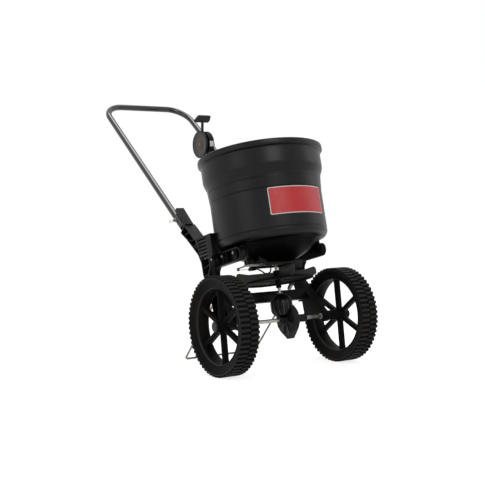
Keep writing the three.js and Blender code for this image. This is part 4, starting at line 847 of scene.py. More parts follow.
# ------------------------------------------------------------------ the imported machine
@dataclass
class Machine:
    """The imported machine: its record, its tilted frame and the parts that pieces stand for."""

    frame: Frame
    replaced: list[str] = field(default_factory=list)

    def __post_init__(self) -> None:
        """Reads the tilted frame: its origin is on the axle, and its Z is the impeller shaft."""
        self.origin = Vector(self.joint("axle_spin")["pos_m"])
        axis = Vector(self.joint("impeller_spin")["axis"])
        self.tilt = math.atan2(axis.y, axis.z)
        self.place = Matrix.Translation(self.origin) @ Matrix.Rotation(-self.tilt, 4, "X")

    def joint(self, name: str) -> dict:
        """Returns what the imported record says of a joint."""
        joints = self.frame["record"]["behaviour"]["joints"]
        return next(entry for entry in joints if entry["name"] == name)

    def slot_of(self, node: str) -> str:
        """Returns the record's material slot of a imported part."""
        subparts = self.frame["record"]["subparts"]
        return next(entry["material_slot"] for entry in subparts if entry["node"] == node)

    def add(
        self,
        name: str,
        mesh: Mesh,
        finish: str,
        crease: float = CREASE,
        node: str | None = None,
        body: str = "machine",
        slot: str | None = None,
    ) -> None:
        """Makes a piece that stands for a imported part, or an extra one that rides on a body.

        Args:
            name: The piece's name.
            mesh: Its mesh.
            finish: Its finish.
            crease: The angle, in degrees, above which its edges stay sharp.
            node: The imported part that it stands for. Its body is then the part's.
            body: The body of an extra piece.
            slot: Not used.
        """
        piece = set_out(name, mesh, finished(finish), crease)
        if node:
            bodies = self.frame["record"]["behaviour"]["bodies"]
            body = next(body for body, nodes in bodies.items() if node in nodes)
            slot = self.slot_of(node)
        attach(piece, body)
        if node:
            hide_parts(node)
            self.replaced.append(node)
        log.info("%s rides on %s and stands for %s", name, body, node or "no packed part")

    def dress(self) -> None:
        """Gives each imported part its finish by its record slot, also where it stays as it is."""
        entries = self.frame["record"]["subparts"]
        for entry in entries:
            materials = self.frame["nodes"][entry["node"]].data.materials
            materials.clear()
            materials.append(finished(entry["material_slot"]))
        log.info("packed parts that stay: %d", len(entries) - len(self.replaced))


@dataclass
class Assembly:
    """A sub-assembly: its sizes, and the machine that its pieces go on."""

    machine: Machine


# ------------------------------------------------------------------ hopper
@dataclass
class Hopper(Assembly):
    """The deep round hopper: shoulder, straight body, flared step, upper band and rolled rim.

    Its sizes are in millimetres.
    """

    segments: int = 160
    outside: Profile = (
        (0, 180), (58, 180), (59.3, 180.6), (112, 206.8), (143.0, 229.6), (154.0, 237.4),
        (160.0, 239.6), (166.0, 241.2), (171.8, 245.0), (176.0, 250.6), (178.4, 256.8),
        (179.2, 261.6), (178.9, 264.0), (177.4, 265.6), (177.0, 267.0), (177.6, 268.4),
        (179.2, 269.6), (179.3, 271.4), (179.3, 389.8), (178.2, 390.8), (178.1, 392.6),
        (179.9, 394.0), (182.2, 423.6), (181.2, 425.0), (181.0, 427.2), (182.9, 429.0),
        (183.3, 436.2), (184.4, 439.8), (190.2, 453.4), (190.6, 455.2), (191.6, 457.0),
        (192.8, 464), (192.9, 470), (192.9, 503), (192.6, 511.8), (192.9, 514.2), (194.6, 515.4),
        (198.6, 516.3), (200.6, 517.6), (201.5, 519.8), (201.5, 530.6), (200.4, 534.0),
        (197.4, 535.8), (192.8, 535.8), (190.4, 534.3), (189.5, 531.5), (0, 531.5),
    )
    inside: Profile = (
        (0, 183.5), (57.5, 183.5), (110.6, 210.4), (142.6, 233.6), (159.6, 244.6), (169.4, 254.0),
        (173.8, 262), (174.6, 274), (175.8, 392), (179.4, 438), (187.6, 462), (189.4, 470),
        (189.5, 530.5), (189.5, 535.5), (0, 535.5),
    )
    ear_outline: Profile = ((-54, 207, 8), (134, 207, 8), (134, 268), (60, 250), (-54, 246))
    ear_span: Pair = (138.7, 146.6)
    # place and radius of each hole in the floor
    openings: Profile = ((18, 21, 11.0), (18, -21, 11.0), (0, 0, 7.4))
    floor: Pair = (170, 190)
    opening_sides: int = 32

    def wall(self, profile: Profile) -> Mesh:
        """Turns one of the hopper's profiles."""
        return as_mesh(lathe(scaled(profile), self.segments), "wall")

    def ear(self, side: Side) -> Mesh:
        """Builds the moulded ear that one arm bolts to.

        Args:
            side: The ear's side.

        Returns:
            The ear.
        """
        low, high = (value * MM for value in self.ear_span)
        shape = plate(smooth_corners(scaled(self.ear_outline)), low, high)
        turn = Matrix(((0, 0, side.value, 0), (1, 0, 0, 0), (0, 1, 0, 0), (0, 0, 0, 1)))
        return as_mesh(shape, "ear", turn)

    def plug(self, x: float, y: float, radius: float) -> Mesh:
        """Builds the plug that opens one hole in the floor.

        Args:
            x: The hole's place from side to side.
            y: Its place from front to back.
            radius: Its radius.

        Returns:
            The plug.
        """
        low, high = self.floor
        rod = rod_shape(radius * MM, low * MM, high * MM, self.opening_sides)
        return as_mesh(rod, "plug", Matrix.Translation((x * MM, y * MM, 0)))

    def build(self) -> None:
        """Builds the shell with its ears and its open floor."""
        steps = [(Step.JOIN, self.ear(side)) for side in Side]
        steps.append((Step.CUT, self.wall(self.inside)))
        steps += [(Step.CUT, self.plug(*opening)) for opening in self.openings]
        mesh = carve("hopper_shell", self.wall(self.outside), steps)
        mesh.transform(self.machine.place)
        self.machine.add("hopper_shell", mesh, "hopper", crease=24.0, node="hopper")


@dataclass
class FrontPanel(Assembly):
    """The plain printed panel on the hopper's front: a red field in a thin pale border."""

    radius: float = 0.17945  # just over the hopper's straight body
    middle: float = -90.0  # degrees
    half_angle: float = 33.0  # degrees
    low: float = 0.305
    high: float = 0.389
    corner: float = 0.004
    least_corner: float = 0.001
    strips: int = 22
    thickness: float = 0.0006
    layers: tuple[tuple[str, str, float, float], ...] = (  # name, finish, inset, rise
        ("panel_border", "pale", 0.0, 0.00025),
        ("panel_field", "red", 0.0026, 0.0004),
    )

    def layer(self, name: str, inset: float, rise: float) -> Mesh:
        """Builds one thin patch that follows the hopper.

        Args:
            name: The patch's name.
            inset: How far it stays inside the panel's outline.
            rise: Its outer face over the hopper's surface.

        Returns:
            The patch as a closed mesh in its place.
        """
        reach = math.radians(self.half_angle) * self.radius - inset
        low, high = self.low + inset, self.high - inset
        bend = max(self.corner - inset, self.least_corner)
        outline = ((-reach, low), (reach, low), (reach, high), (-reach, high))
        corners = [(*corner, bend) for corner in outline]
        shape = plate(smooth_corners(corners), rise - self.thickness, rise)
        for k in range(1, self.strips):
            cut = (reach * (2 * k / self.strips - 1), 0, 0)
            everything = shape.verts[:] + shape.edges[:] + shape.faces[:]
            bmesh.ops.bisect_plane(shape, geom=everything, plane_co=cut, plane_no=(1, 0, 0))
        for vertex in shape.verts:
            along, height, out = vertex.co
            angle = math.radians(self.middle) + along / self.radius
            radius = self.radius + out
            vertex.co = (radius * math.cos(angle), radius * math.sin(angle), height)
        return as_mesh(shape, name, self.machine.place)

    def build(self) -> None:
        """Builds the border patch and the red field on it."""
        for name, finish, inset, rise in self.layers:
            self.machine.add(name, self.layer(name, inset, rise), finish, crease=20.0)


# ------------------------------------------------------------------ wheels
@dataclass
class TreadWheel(Assembly):
    """A blow-moulded wheel: coned sidewalls, waisted barrel, two staggered rows of lugs, spokes.

    Its profiles are in millimetres.
    """

    side: Side
    node: str
    half_width: float = 0.032
    segments: int = 240
    hub_sides: int = 48
    lugs: int = 60
    # half a lug's section, as half width, radius and whether it drops with the tip
    lug: Profile = ((4.7, 146.6, 0), (4.7, 147.8, 0), (3.7, 151.48, 1), (2.9, 152.38, 1))
    # distance from the middle, and how far the tip drops there
    lug_stations: Profile = ((1.2, 0.6), (2.1, 0), (30.4, 0), (31.6, 1.1))
    spokes: int = 6
    spoke_lean: float = 5.5  # degrees
    spoke_size: Pair = (6.6, 10.4)  # half width and half depth
    spoke: Profile = (  # a quarter of its section, as shares of those
        (0.0, 1.0), (0.14, 1.0), (0.24, 0.94), (0.34, 0.86), (0.55, 0.87), (0.78, 0.85),
        (0.93, 0.77), (1.0, 0.62),
    )
    spoke_stations: Profile = (  # radius, and what width and depth are multiplied by
        (9, 1.25, 1.1), (17.5, 1.22, 1.08), (21.5, 1.06, 1.0), (27, 1.0, 1.0), (98, 1.0, 1.0),
        (106, 1.05, 1.02), (111.5, 1.22, 1.08), (114.5, 1.5, 1.18), (116.5, 1.7, 1.25),
    )
    hub: Profile = (
        (6.8, -49), (7.8, -50), (14, -50), (15.1, -49.1), (17.2, -17), (20.9, -11.2), (21.5, -9.5),
        (21.5, 9.5), (20.9, 11.2), (17.5, 16.5), (16.9, 26.8), (16.1, 28), (13.9, 28),
        (13.3, 27.2), (13.3, 14), (6.8, 14),
    )
    rim_half: Profile = (  # from the middle of the barrel
        (112.0, 0), (112.6, 7), (114.0, 15), (115.1, 19.6), (115.2, 21.0), (115.7, 22.0),
        (116.7, 22.5), (117.8, 22.4), (118.7, 22.0), (120.0, 22.2), (122.0, 22.9),
        (143.2, 30.6), (144.3, 31.4), (145.6, 31.7), (146.6, 31.2), (147.4, 30.2),
    )

    def rim(self) -> Mesh:
        """Builds the rim as one closed ring."""
        mirrored = [(radius, -z) for radius, z in reversed(self.rim_half[1:])]
        return as_mesh(lathe(scaled((*self.rim_half, *mirrored)), self.segments), "rim")

    def one_lug(self, row: Side) -> Mesh:
        """Builds one lug, standing on the rim along X.

        Args:
            row: The row that it is in.

        Returns:
            The lug.
        """
        sections = []
        for z, drop in self.lug_stations:
            half = [(width, radius - drop * falls) for width, radius, falls in self.lug]
            section = [(-width, radius) for width, radius in half] + half[::-1]
            sections.append(scaled([(radius, width, row.value * z) for width, radius in section]))
        return as_mesh(loft(sections), "lug")

    def one_spoke(self) -> Mesh:
        """Builds one spoke along X.

        Returns:
            The spoke, with ribbed faces, flared into the hub and the rim.
        """
        width, depth = self.spoke_size
        right = [(x * width, z * depth) for x, z in self.spoke]
        section = right + [(x, -z) for x, z in reversed(right)]
        section += [(-x, z) for x, z in reversed(section)][1:-1]
        stations = self.spoke_stations
        rings = [[(r, x * wide, z * deep) for x, z in section] for r, wide, deep in stations]
        return as_mesh(loft(scaled(ring) for ring in rings), "spoke")

    def build(self) -> None:
        """Builds the wheel and sets it on its axle."""
        sign, half_step = self.side.value, math.pi / self.lugs
        meshes = [self.rim()]
        for row, first in ((Side.LEFT, half_step), (Side.RIGHT, 0.0)):
            meshes.append(ring("lugs", self.one_lug(row), self.lugs, first, "wheel_poly"))
        lean = math.radians(-sign * self.spoke_lean)
        meshes.append(ring("spokes", self.one_spoke(), self.spokes, lean, "wheel_poly"))
        meshes.append(as_mesh(lathe(scaled(self.hub), self.hub_sides), "hub"))
        mesh = joined(self.node, meshes)
        low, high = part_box(self.node)
        outer = high.x if self.side is Side.RIGHT else low.x
        _, y, z = self.machine.origin
        stand = Matrix.Translation((outer - sign * self.half_width, y, z))
        mesh.transform(stand @ self.side.facing())
        name = f"{self.side.name.lower()}_tread_wheel"
        self.machine.add(name, mesh, "wheel_poly", crease=30.0, node=self.node)


# ------------------------------------------------------------------ tube and wire
@dataclass
class BentTubes(Assembly):
    """The one-piece handle of round tube and the wire stand under it."""

    rake: float = 39.73  # degrees
    line_start: Pair = (0.1922, 0.3)  # y and z of a point on its centreline
    handle_half: float = 0.1776
    handle_ends: Pair = (0.352, 0.9287)  # the heights of its feet and of its bar
    handle_bend: float = 0.081
    tube_radius: float = 0.011
    wire_radius: float = 0.0035
    wire_bend: float = 0.011
    wire_half: float = 0.1426
    wire_end: float = 0.159
    wire_top: Pair = (0.112, 0.127)
    wire_foot: float = 0.377  # behind the axle

    def on_line(self, z: float) -> Pair:
        """Returns y and z of the handle tube's centreline at that height."""
        y, start = self.line_start
        return y + (z - start) * math.tan(math.radians(self.rake)), z

    def bow(self, name: str, node: str, finish: str, route: list[Point], **sizes: float) -> None:
        """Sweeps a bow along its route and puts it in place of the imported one.

        Args:
            name: The piece's name.
            node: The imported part.
            finish: Its finish.
            route: The points that its centreline runs through, in the machine's frame.
            **sizes: Its radius, its sides, and the radius and the steps of its bends.
        """
        mesh = bent_rod(name, route, finish, **sizes)
        mesh.transform(self.machine.place)
        self.machine.add(name, mesh, finish, node=node)

    def build(self) -> None:
        """Sweeps the handle through its two bends, and the stand's wire down to the ground."""
        foot, bar = (self.on_line(z) for z in self.handle_ends)
        half = self.handle_half
        route = [(-half, *foot), (-half, *bar), (half, *bar), (half, *foot)]
        sizes = {"Radius": self.tube_radius, "Sides": 40, "Bend": self.handle_bend}
        self.bow("handle_bow", "handle_tube", "painted_tube", route, Bend_steps=24, **sizes)
        ground = Vector((0.0, self.wire_foot + self.machine.origin.y, self.wire_radius))
        _, y, z = self.machine.place.inverted() @ ground
        half, end, top = self.wire_half, self.wire_end, self.wire_top
        route = [(-end, *top), (-half, *top), (-half, y, z)]
        route += [(-x, *rest) for x, *rest in reversed(route)]
        sizes = {"Radius": self.wire_radius, "Sides": 20, "Bend": self.wire_bend}
        self.bow("stand_bow", "stand_wire", "zinc", route, Bend_steps=10, **sizes)


# ------------------------------------------------------------------ impeller
@dataclass
class Impeller(Assembly):
    """The spreading plate: a dished disc with a stepped edge, a tall hub and four upright vanes.

    Its sizes are in millimetres.
    """

    phase: float = -12.0  # degrees
    crease: float = 30.0  # degrees
    vanes: int = 4
    vane_half: float = 1.4
    vane_ease: float = 0.7
    segments: int = 120
    disc: Profile = (
        (5.2, 101.2), (7.4, 101), (8.2, 101.8), (9.4, 113), (10.9, 125), (14, 125.2), (96, 125.2),
        (98.6, 124.4), (100.2, 121.4), (101.6, 120.2), (111.6, 120), (112.9, 120.9),
        (112.9, 122.6), (111.8, 123.4), (103.6, 124.2), (102.4, 125.2), (101.2, 128.2),
        (99.6, 129), (60, 128.6), (16, 129), (13.2, 131.5), (11.9, 155.6), (10.6, 156.9),
        (5.4, 156.9),
    )
    vane: Profile = (
        (10, 130, 0), (23, 123.2, 0), (112, 123.2, 0), (137.8, 135.4, 7), (137.8, 160.8, 9),
        (97.5, 151.8, 12), (10, 151.8, 0),
    )

    def build(self) -> None:
        """Builds the disc and its vanes and sets them on the shaft."""
        vane = slab("vane", self.vane, self.vane_half, self.vane_ease, steps=2, rounds=8)
        vanes = ring("vanes", vane, self.vanes, math.radians(self.phase), "vane")
        vanes.transform(self.machine.place)
        disc = as_mesh(lathe(scaled(self.disc), self.segments), "disc", self.machine.place)
        add, crease = self.machine.add, self.crease
        add("spreading_plate", disc, "plate", crease, node="impeller")
        add("spreading_vanes", vanes, "vane", crease, body="spinner", slot="moulding")


# ------------------------------------------------------------------ flow control
@dataclass
class FlowControl(Assembly):
    """The flow control on the handle: a cup, a dished face with its bolt, and the thumb lever.

    Its sizes are in millimetres. Its profiles are turned about the pivot.
    """

    tubes: BentTubes
    span: Pair = (0.4, 0.9)  # the heights in metres that the tube's bore runs between
    play: float = 0.3
    bore_sides: int = 40
    segments: int = 72
    rest: float = 15.5  # the lever's lean, in degrees
    grip_at: float = 98.0
    grip_lean: float = 21.0  # degrees
    grip_sizes: Pair = (4.0, 1.8)  # half its thickness, and its eased rims
    stem_sizes: Pair = (5.0, 0.8)
    ribs: int = 40
    # the lowest and highest corners of a rib and of a tick
    rib: tuple[Point, Point] = ((49.4, -0.5, 12.4), (50.5, 0.5, 20.6))
    ticks: int = 24
    tick: tuple[Point, Point] = ((38.5, -0.35, -11.9), (43.5, 0.35, -11.1))
    patch_radii: Pair = (50.6, 51.2)
    patch_span: Pair = (3.4, 19.5)
    patch_reach: float = 0.2
    patch_steps: int = 10
    cup: Profile = (
        (0, 4), (36, 4), (40, 3.2), (49, 3.2), (50, 4.2), (50, 9), (48.8, 9.6), (48.8, 10.6),
        (50, 11.2), (50, 21.5), (48.9, 24.2), (46.2, 25.8), (38, 26.2), (0, 26.2),
    )
    face: Profile = (
        (0, -9.4), (6.9, -9.4), (7.4, -12.4), (8.4, -13), (10.4, -12.6), (11.6, -11.4),
        (26, -11), (27, -10.6), (28, -11), (47.6, -11.4), (47.6, -5.2), (0, -5.2),
    )
    rim: Profile = (
        (47.8, -11.6), (48.4, -12.8), (49.6, -13.2), (51.2, -12.8), (52, -11.6), (52, -7.6),
        (51.2, -6.4), (47.8, -6.2),
    )
    bolt: Profile = (
        (0, -14.2), (3.4, -13.9), (5.4, -12.9), (6.2, -11.4), (6.2, -9.8), (3.9, -9.8),
        (3.9, 54), (0, 54.4),
    )
    drum: Profile = (
        (4.4, -4), (31.6, -4), (31.6, -2), (27.9, -1.2), (27.9, 1.2), (31.6, 2), (31.6, 3.1),
        (4.4, 3.1),
    )
    stem: Profile = (
        (-2.6, 20), (2.6, 20), (2.6, 53), (3.7, 56), (3.7, 88), (-3.7, 88), (-3.7, 56), (-2.6, 53),
    )
    grip: Profile = (
        (-19.6, 13.7, 4), (-35, -10.5, 2), (-33.5, -13.7, 2), (30.5, -13.7, 7), (32.5, 0, 20),
        (32.5, 13.7, 1.5),
    )

    def pivot(self) -> Matrix:
        """Returns the move to the point that the lever turns about."""
        return Matrix.Translation(self.machine.joint("lever_turn")["pos_m"])

    def across(self) -> Matrix:
        """Returns the place of a turned part whose axis lies along the pivot."""
        return self.pivot() @ Side.RIGHT.facing()

    def turned(self, name: str, profile: Profile) -> Mesh:
        """Turns a profile about the pivot's axis."""
        return as_mesh(lathe(scaled(profile), self.segments), name, self.across())

    def boxes(self, corners: tuple[Point, Point], count: int, finish: str) -> Mesh:
        """Sets copies of a small box in a ring round the pivot's axis.

        Args:
            corners: The box's lowest and highest corners.
            count: How many copies there are.
            finish: Their finish.

        Returns:
            The ring, in its place.
        """
        (x0, y0, low), (x1, y1, high) = scaled(corners)
        box = as_mesh(plate([(x0, y0), (x1, y0), (x1, y1), (x0, y1)], low, high), "box")
        mesh = ring("boxes", box, count, 0.0, finish)
        mesh.transform(self.across())
        return mesh

    def case(self) -> Mesh:
        """Builds the cup round the tube.

        Returns:
            The bored cup, with the grip ribs round it.
        """
        side = self.tubes.handle_half
        low, high = (self.machine.place @ Vector((side, *self.tubes.on_line(z))) for z in self.span)
        turn = (high - low).to_track_quat("Z", "Y").to_matrix().to_4x4()
        radius = self.tubes.tube_radius + self.play * MM
        bore = rod_shape(radius, 0, (high - low).length, self.bore_sides)
        cut = (Step.CUT, as_mesh(bore, "bore", Matrix.Translation(low) @ turn))
        cup = carve("flow_case", self.turned("cup", self.cup), [cut])
        return joined("flow_case", [cup, self.boxes(self.rib, self.ribs, "moulding")])

    def patch(self) -> Mesh:
        """Builds the pale patch.

        Returns:
            The patch, which wraps the front of the cup.
        """
        steps = range(self.patch_steps + 1)
        arc = [math.pi + self.patch_reach * (2 * k / self.patch_steps - 1) for k in steps]
        inner, outer = ([(r * math.cos(t), r * math.sin(t)) for t in arc] for r in self.patch_radii)
        low, high = (value * MM for value in self.patch_span)
        turn = Matrix.Rotation(QUARTER, 4, "Z")
        return as_mesh(plate(scaled(outer + inner[::-1]), low, high), "patch", self.across() @ turn)

    def lever(self) -> tuple[Mesh, Mesh]:
        """Builds the lever.

        Returns:
            The cable drum with its stem, and the leaning grip on top.
        """
        lean = math.radians(self.rest) - self.machine.tilt
        upright = self.pivot() @ Matrix.Rotation(lean, 4, "X")
        stem = slab("stem", self.stem, *self.stem_sizes, steps=3, rounds=5)
        stem.transform(upright)
        grip = slab("grip", self.grip, *self.grip_sizes, steps=3, rounds=5)
        top = upright @ Matrix.Translation((0, 0, self.grip_at * MM))
        grip.transform(top @ Matrix.Rotation(math.radians(self.grip_lean), 4, "X"))
        return joined("thumb_lever", [self.turned("drum", self.drum), stem]), grip

    def build(self) -> None:
        """Builds the whole control and sets it on the handle."""
        add = self.machine.add
        add("flow_case", self.case(), "moulding", crease=35.0, node="dial_case")
        add("flow_patch", self.patch(), "pale", crease=30.0)
        parts = [self.turned("face", self.face), self.boxes(self.tick, self.ticks, "dial_face")]
        face = joined("flow_face", parts)
        add("flow_face", face, "dial_face", crease=30.0, node="dial_plate")
        add("flow_rim", self.turned("rim", self.rim), "moulding", slot="moulding")
        add("flow_bolt", self.turned("bolt", self.bolt), "zinc", node="dial_bolt")
        lever, grip = self.lever()
        add("thumb_lever", lever, "acetal", node="control_lever")
        add("thumb_grip", grip, "acetal", node="lever_grip")


# ------------------------------------------------------------------ gearbox ribs
@dataclass
class TowerRibs(Assembly):
    """The upright ribs round the gearbox's tower.

    Its sizes are in millimetres.
    """

    count: int = 14
    half: float = 1.1
    ease: float = 0.5
    outline: Profile = (
        (11, 79.5, 0), (14.5, 79.5, 2), (31, 66.5, 5), (35.2, 54, 6), (35.2, 31, 6), (27, 15.5, 2),
        (20, 20, 0),
    )

    def build(self) -> None:
        """Sets the ribs round the tower."""
        rib = slab("rib", self.outline, self.half, self.ease, steps=2, rounds=4)
        # painted highlight: the ribs take the lighter rib finish, not their slot's moulding
        mesh = ring("tower_ribs", rib, self.count, math.pi / self.count, "rib")
        mesh.transform(self.machine.place)
        self.machine.add("tower_ribs", mesh, "rib", crease=35.0, slot="moulding")


# ------------------------------------------------------------------ moulded parts with eased edges
@dataclass
class EasedParts(Assembly):
    """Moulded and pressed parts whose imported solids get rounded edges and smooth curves."""

    paddle: Pair = (0.388, 0.007)  # the height it is drawn up from, and how far
    wire_trim: float = 0.0015
    flat: float = 0.6  # degrees between faces that count as one
    sharp: float = 34.0  # degrees above which an edge is rounded
    segments: int = 2
    crease: float = 38.0  # degrees
    dull: tuple[str, ...] = ("side_frame_right",)  # given the darker plate finish as painted shade, duller than their slot
    edges: tuple[tuple[str, float], ...] = (  # the width of the rounding, in millimetres
        ("side_frame_left", 0.7),
        ("side_frame_right", 0.7),
        ("cross_member", 0.8),
        ("gearbox_front", 0.6),
        ("gearbox_rear", 0.6),
        ("shutter_guide", 0.6),
        ("hub_cap_left", 0.7),
        ("hub_cap_right", 0.7),
        ("shutter_wire", 0.1),
    )

    def fit(self, node: str, shape: Shape) -> None:
        """Draws up a side frame's paddle, or draws back the shutter wire's tip.

        Args:
            node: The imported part.
            shape: Its copy, which is changed.
        """
        if node.startswith("side_frame"):
            start, rise = self.paddle
            upright = self.machine.place.inverted()
            lift = self.machine.place.to_3x3() @ Vector((0.0, 0.0, rise))
            for vertex in shape.verts:
                if (upright @ vertex.co).z > start:
                    vertex.co += lift
        if node == "shutter_wire":
            tip = max(vertex.co.x for vertex in shape.verts)
            for vertex in shape.verts:
                if vertex.co.x > tip - self.wire_trim:
                    vertex.co.x -= self.wire_trim

    def eased(self, node: str, width: float) -> Mesh:
        """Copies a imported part, merges its loose triangles and rounds its edges.

        Args:
            node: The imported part.
            width: The width of the rounding, in millimetres.

        Returns:
            The new mesh, in the part's own place.
        """
        shape = bmesh.new()
        shape.from_mesh(self.machine.frame["nodes"][node].data)
        bmesh.ops.remove_doubles(shape, verts=shape.verts, dist=PACKED_WELD)
        self.fit(node, shape)
        flat = math.radians(self.flat)
        bmesh.ops.dissolve_limit(shape, angle_limit=flat, verts=shape.verts, edges=shape.edges)
        mesh = bpy.data.meshes.new(node)
        shape.to_mesh(mesh)
        shape.free()
        host = on_scene(node + " eased", mesh)
        bevel = host.modifiers.new("ease", "BEVEL")
        bevel.width = width * MM
        bevel.segments = self.segments
        bevel.limit_method = "ANGLE"
        bevel.angle_limit = math.radians(self.sharp)
        bevel.use_clamp_overlap = True
        return applied(host)

    def build(self) -> None:
        """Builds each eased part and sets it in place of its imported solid."""
        for node, width in self.edges:
            # painted shade: the far side frame takes the darker plate finish in place of its slot's
            finish = "plate" if node in self.dull else self.machine.slot_of(node)
            mesh = self.eased(node, width)
            self.machine.add(node + "_eased", mesh, finish, self.crease, node=node)


# ------------------------------------------------------------------ small fasteners
@dataclass
class ScrewHeads(Assembly):
    """Domed heads on the hopper's bolts and on the side frames, and washers on the pins, all
    painted pale as a painted glint of zinc.

    Its profiles are in millimetres.
    """

    tubes: BentTubes
    frame_screw: Point = (0.1829, -0.248, 0.348)  # how far out it is, and its y and z
    gap: float = 0.0005  # between the handle tube and a washer
    segments: int = 28
    dome: Profile = (
        (0, -0.4), (4.2, -0.4), (4.3, 0.5), (3.9, 1.4), (2.6, 2.2), (1.2, 2.5), (0, 2.6),
    )
    washer: Profile = ((2.2, 0), (5.6, 0), (5.8, 0.3), (5.8, 0.9), (5.5, 1.2), (2.2, 1.2))

    def at(self, profile: Profile, side: Side, out: float, y: float, z: float) -> Mesh:
        """Turns a profile and sets it that far out on a side, facing outwards."""
        stand = Matrix.Translation((side.value * out, y, z)) @ side.facing()
        return as_mesh(lathe(scaled(profile), self.segments), "head", stand)

    def build(self) -> None:
        """Builds the heads and the washers as one piece."""
        heads = []
        beside = self.tubes.handle_half + self.tubes.tube_radius + self.gap
        for side in Side:
            heads.append(self.at(self.dome, side, *self.frame_screw))
            middle = sum(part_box(f"handle_pin_{side.name.lower()}"), Vector()) / 2
            heads.append(self.at(self.washer, side, beside, middle.y, middle.z))
        for node in self.machine.frame["nodes"]:
            if node.startswith("hopper_bolt"):
                low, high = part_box(node)
                middle = (low + high) / 2
                side = Side.LEFT if middle.x < 0 else Side.RIGHT
                out = max(abs(low.x), abs(high.x))
                heads.append(self.at(self.dome, side, out, middle.y, middle.z))
        # painted glint: the zinc heads and washers take a pale, non-metal finish
        self.machine.add("screw_heads", joined("screw_heads", heads), "screw", slot="zinc")
        log.info("screw heads: %d", len(heads))


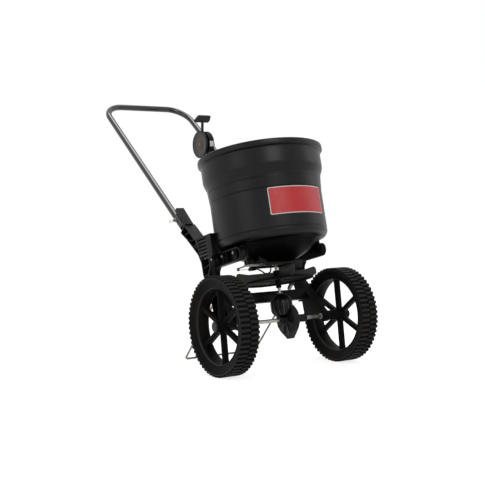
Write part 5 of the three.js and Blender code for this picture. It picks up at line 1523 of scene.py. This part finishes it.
# ------------------------------------------------------------------ studio
@dataclass
class Studio:
    """The camera, the soft lights and the white sweep that the machine stands on."""

    # the camera's three angles in degrees, its lens in millimetres and its place
    azimuth: float = -33.53
    elevation: float = 1.46
    roll: float = -1.64
    lens: float = 69.11
    eye: Point = (-1.7114, -2.7356, 0.4729)
    # the floor's half width, its height behind, the radius and steps of its curve, and its tone
    reach: float = 7.0
    rise: float = 5.0
    curve: float = 2.2
    steps: int = 16
    grey: float = 0.5
    # strengths in plain light, and where they are seen
    floor_glow: Pair = (0.0, 0.8)
    sky: Pair = (0.42, 1.02)
    # name, place, target, width and height, power
    lamps: tuple[tuple[str, Point, Point, Pair, float], ...] = (
        ("overhead box", (0.1, 0.6, 3.4), (0.0, 0.35, 0.6), (2.0, 1.5), 52.0),
        ("front box", (-0.6, -3.4, 2.6), (0.0, 0.0, 0.5), (1.6, 1.6), 34.0),
        ("left box", (-3.0, -0.8, 1.4), (0.0, -0.2, 0.45), (1.5, 1.5), 8.5),
        ("right box", (2.8, -1.2, 1.5), (0.0, 0.0, 0.5), (1.3, 1.3), 5.0),
    )

    def heading(self) -> Matrix:
        """Returns the turn that the camera and the floor share."""
        return Matrix.Rotation(math.radians(self.azimuth), 4, "Z")

    def camera(self) -> None:
        """Sets the camera by its heading, its height angle, its roll and its place."""
        data = bpy.data.cameras.new("camera")
        data.lens = self.lens
        obj = on_scene("camera", data)
        pitch = Matrix.Rotation(QUARTER - math.radians(self.elevation), 4, "X")
        roll = Matrix.Rotation(math.radians(self.roll), 4, "Z")
        obj.matrix_world = Matrix.Translation(self.eye) @ self.heading() @ pitch @ roll
        bpy.context.scene.camera = obj

    def lamp(self, name: str, eye: Point, target: Point, size: Pair, power: float) -> None:
        """Adds one soft box.

        Args:
            name: Its name.
            eye: Its place.
            target: The point that it faces.
            size: Its width and height.
            power: Its power, in watts.
        """
        data = bpy.data.lights.new(name, "AREA")
        data.shape = "RECTANGLE"
        data.size, data.size_y = size
        data.energy = power
        aim = (Vector(target) - Vector(eye)).to_track_quat("-Z", "Y")
        on_scene(name, data).matrix_world = Matrix.Translation(eye) @ aim.to_matrix().to_4x4()

    def seen(self, nodes: Nodes, strengths: Pair) -> Socket:
        """Returns one strength for plain light and one for camera, mirror and glass rays.

        Args:
            nodes: The tree that it goes into.
            strengths: The two strengths.

        Returns:
            The strength's socket.
        """
        rays = nodes.add("ShaderNodeLightPath").outputs
        total: float | Socket = 0.0
        for ray in ("Is Camera Ray", "Is Glossy Ray", "Is Transmission Ray"):
            total = nodes.sum_of("ADD", total, rays[ray], use_clamp=True)
        low, high = strengths
        return nodes.out("ShaderNodeMapRange", Value=total, To_Min=low, To_Max=high)

    def world(self) -> None:
        """Surrounds everything with even white, plain white where the camera looks past it."""
        world = bpy.data.worlds.new("studio")
        world.use_nodes = True
        nodes = Nodes(world.node_tree)
        strength = self.seen(nodes, self.sky)
        shade = nodes.out("ShaderNodeBackground", Color=(*EVEN, 1.0), Strength=strength)
        nodes.add("ShaderNodeOutputWorld", Surface=shade)
        bpy.context.scene.world = world

    def floor(self) -> None:
        """Lays the white floor, which curves up behind the machine."""
        start, curve = self.reach - self.curve, self.curve
        turns = [QUARTER * k / self.steps for k in range(1, self.steps + 1)]
        bend = [(start + curve * math.sin(t), curve - curve * math.cos(t)) for t in turns]
        section = [(-self.reach, 0.0), (start, 0.0), *bend, (self.reach, self.rise)]
        places = [Vector((x, y, z)) for y, z in section for x in (-self.reach, self.reach)]
        faces = [(k, k + 1, k + 3, k + 2) for k in range(0, len(places) - 2, 2)]
        mesh = bpy.data.meshes.new("floor")
        mesh.from_pydata([self.heading() @ place for place in places], [], faces)
        material = bpy.data.materials.new("studio floor")
        material.use_nodes = True
        nodes = Nodes(material.node_tree)
        paint = nodes.out("ShaderNodeBsdfDiffuse", Color=(self.grey, self.grey, self.grey, 1.0))
        glow = nodes.out("ShaderNodeEmission", Strength=self.seen(nodes, self.floor_glow))
        both = nodes.out("ShaderNodeAddShader", _0=paint, _1=glow)
        nodes.add("ShaderNodeOutputMaterial", Surface=both)
        floor = set_out("floor", mesh, material, crease=60.0)

    def build(self) -> None:
        """Builds the camera, the lights, the world and the floor."""
        self.camera()
        self.world()
        self.floor()
        for lamp in self.lamps:
            self.lamp(*lamp)
        bpy.context.scene.view_settings.view_transform = "Standard"
        log.info("studio: camera, %d soft boxes, white sweep", len(self.lamps))


def main(frame: Frame) -> None:
    """Builds the dressed machine and its studio in order.
    """
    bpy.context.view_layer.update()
    machine = Machine(frame)
    Hopper(machine).build()
    FrontPanel(machine).build()
    TreadWheel(machine, Side.LEFT, "drive_wheel").build()
    TreadWheel(machine, Side.RIGHT, "idler_wheel").build()
    tubes = BentTubes(machine)
    tubes.build()
    FlowControl(machine, tubes).build()
    Impeller(machine).build()
    TowerRibs(machine).build()
    EasedParts(machine).build()
    ScrewHeads(machine, tubes).build()
    machine.dress()
    Studio().build()


if __name__ == "__main__":
    logging.basicConfig(level=logging.INFO, format="%(message)s")
    main(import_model())
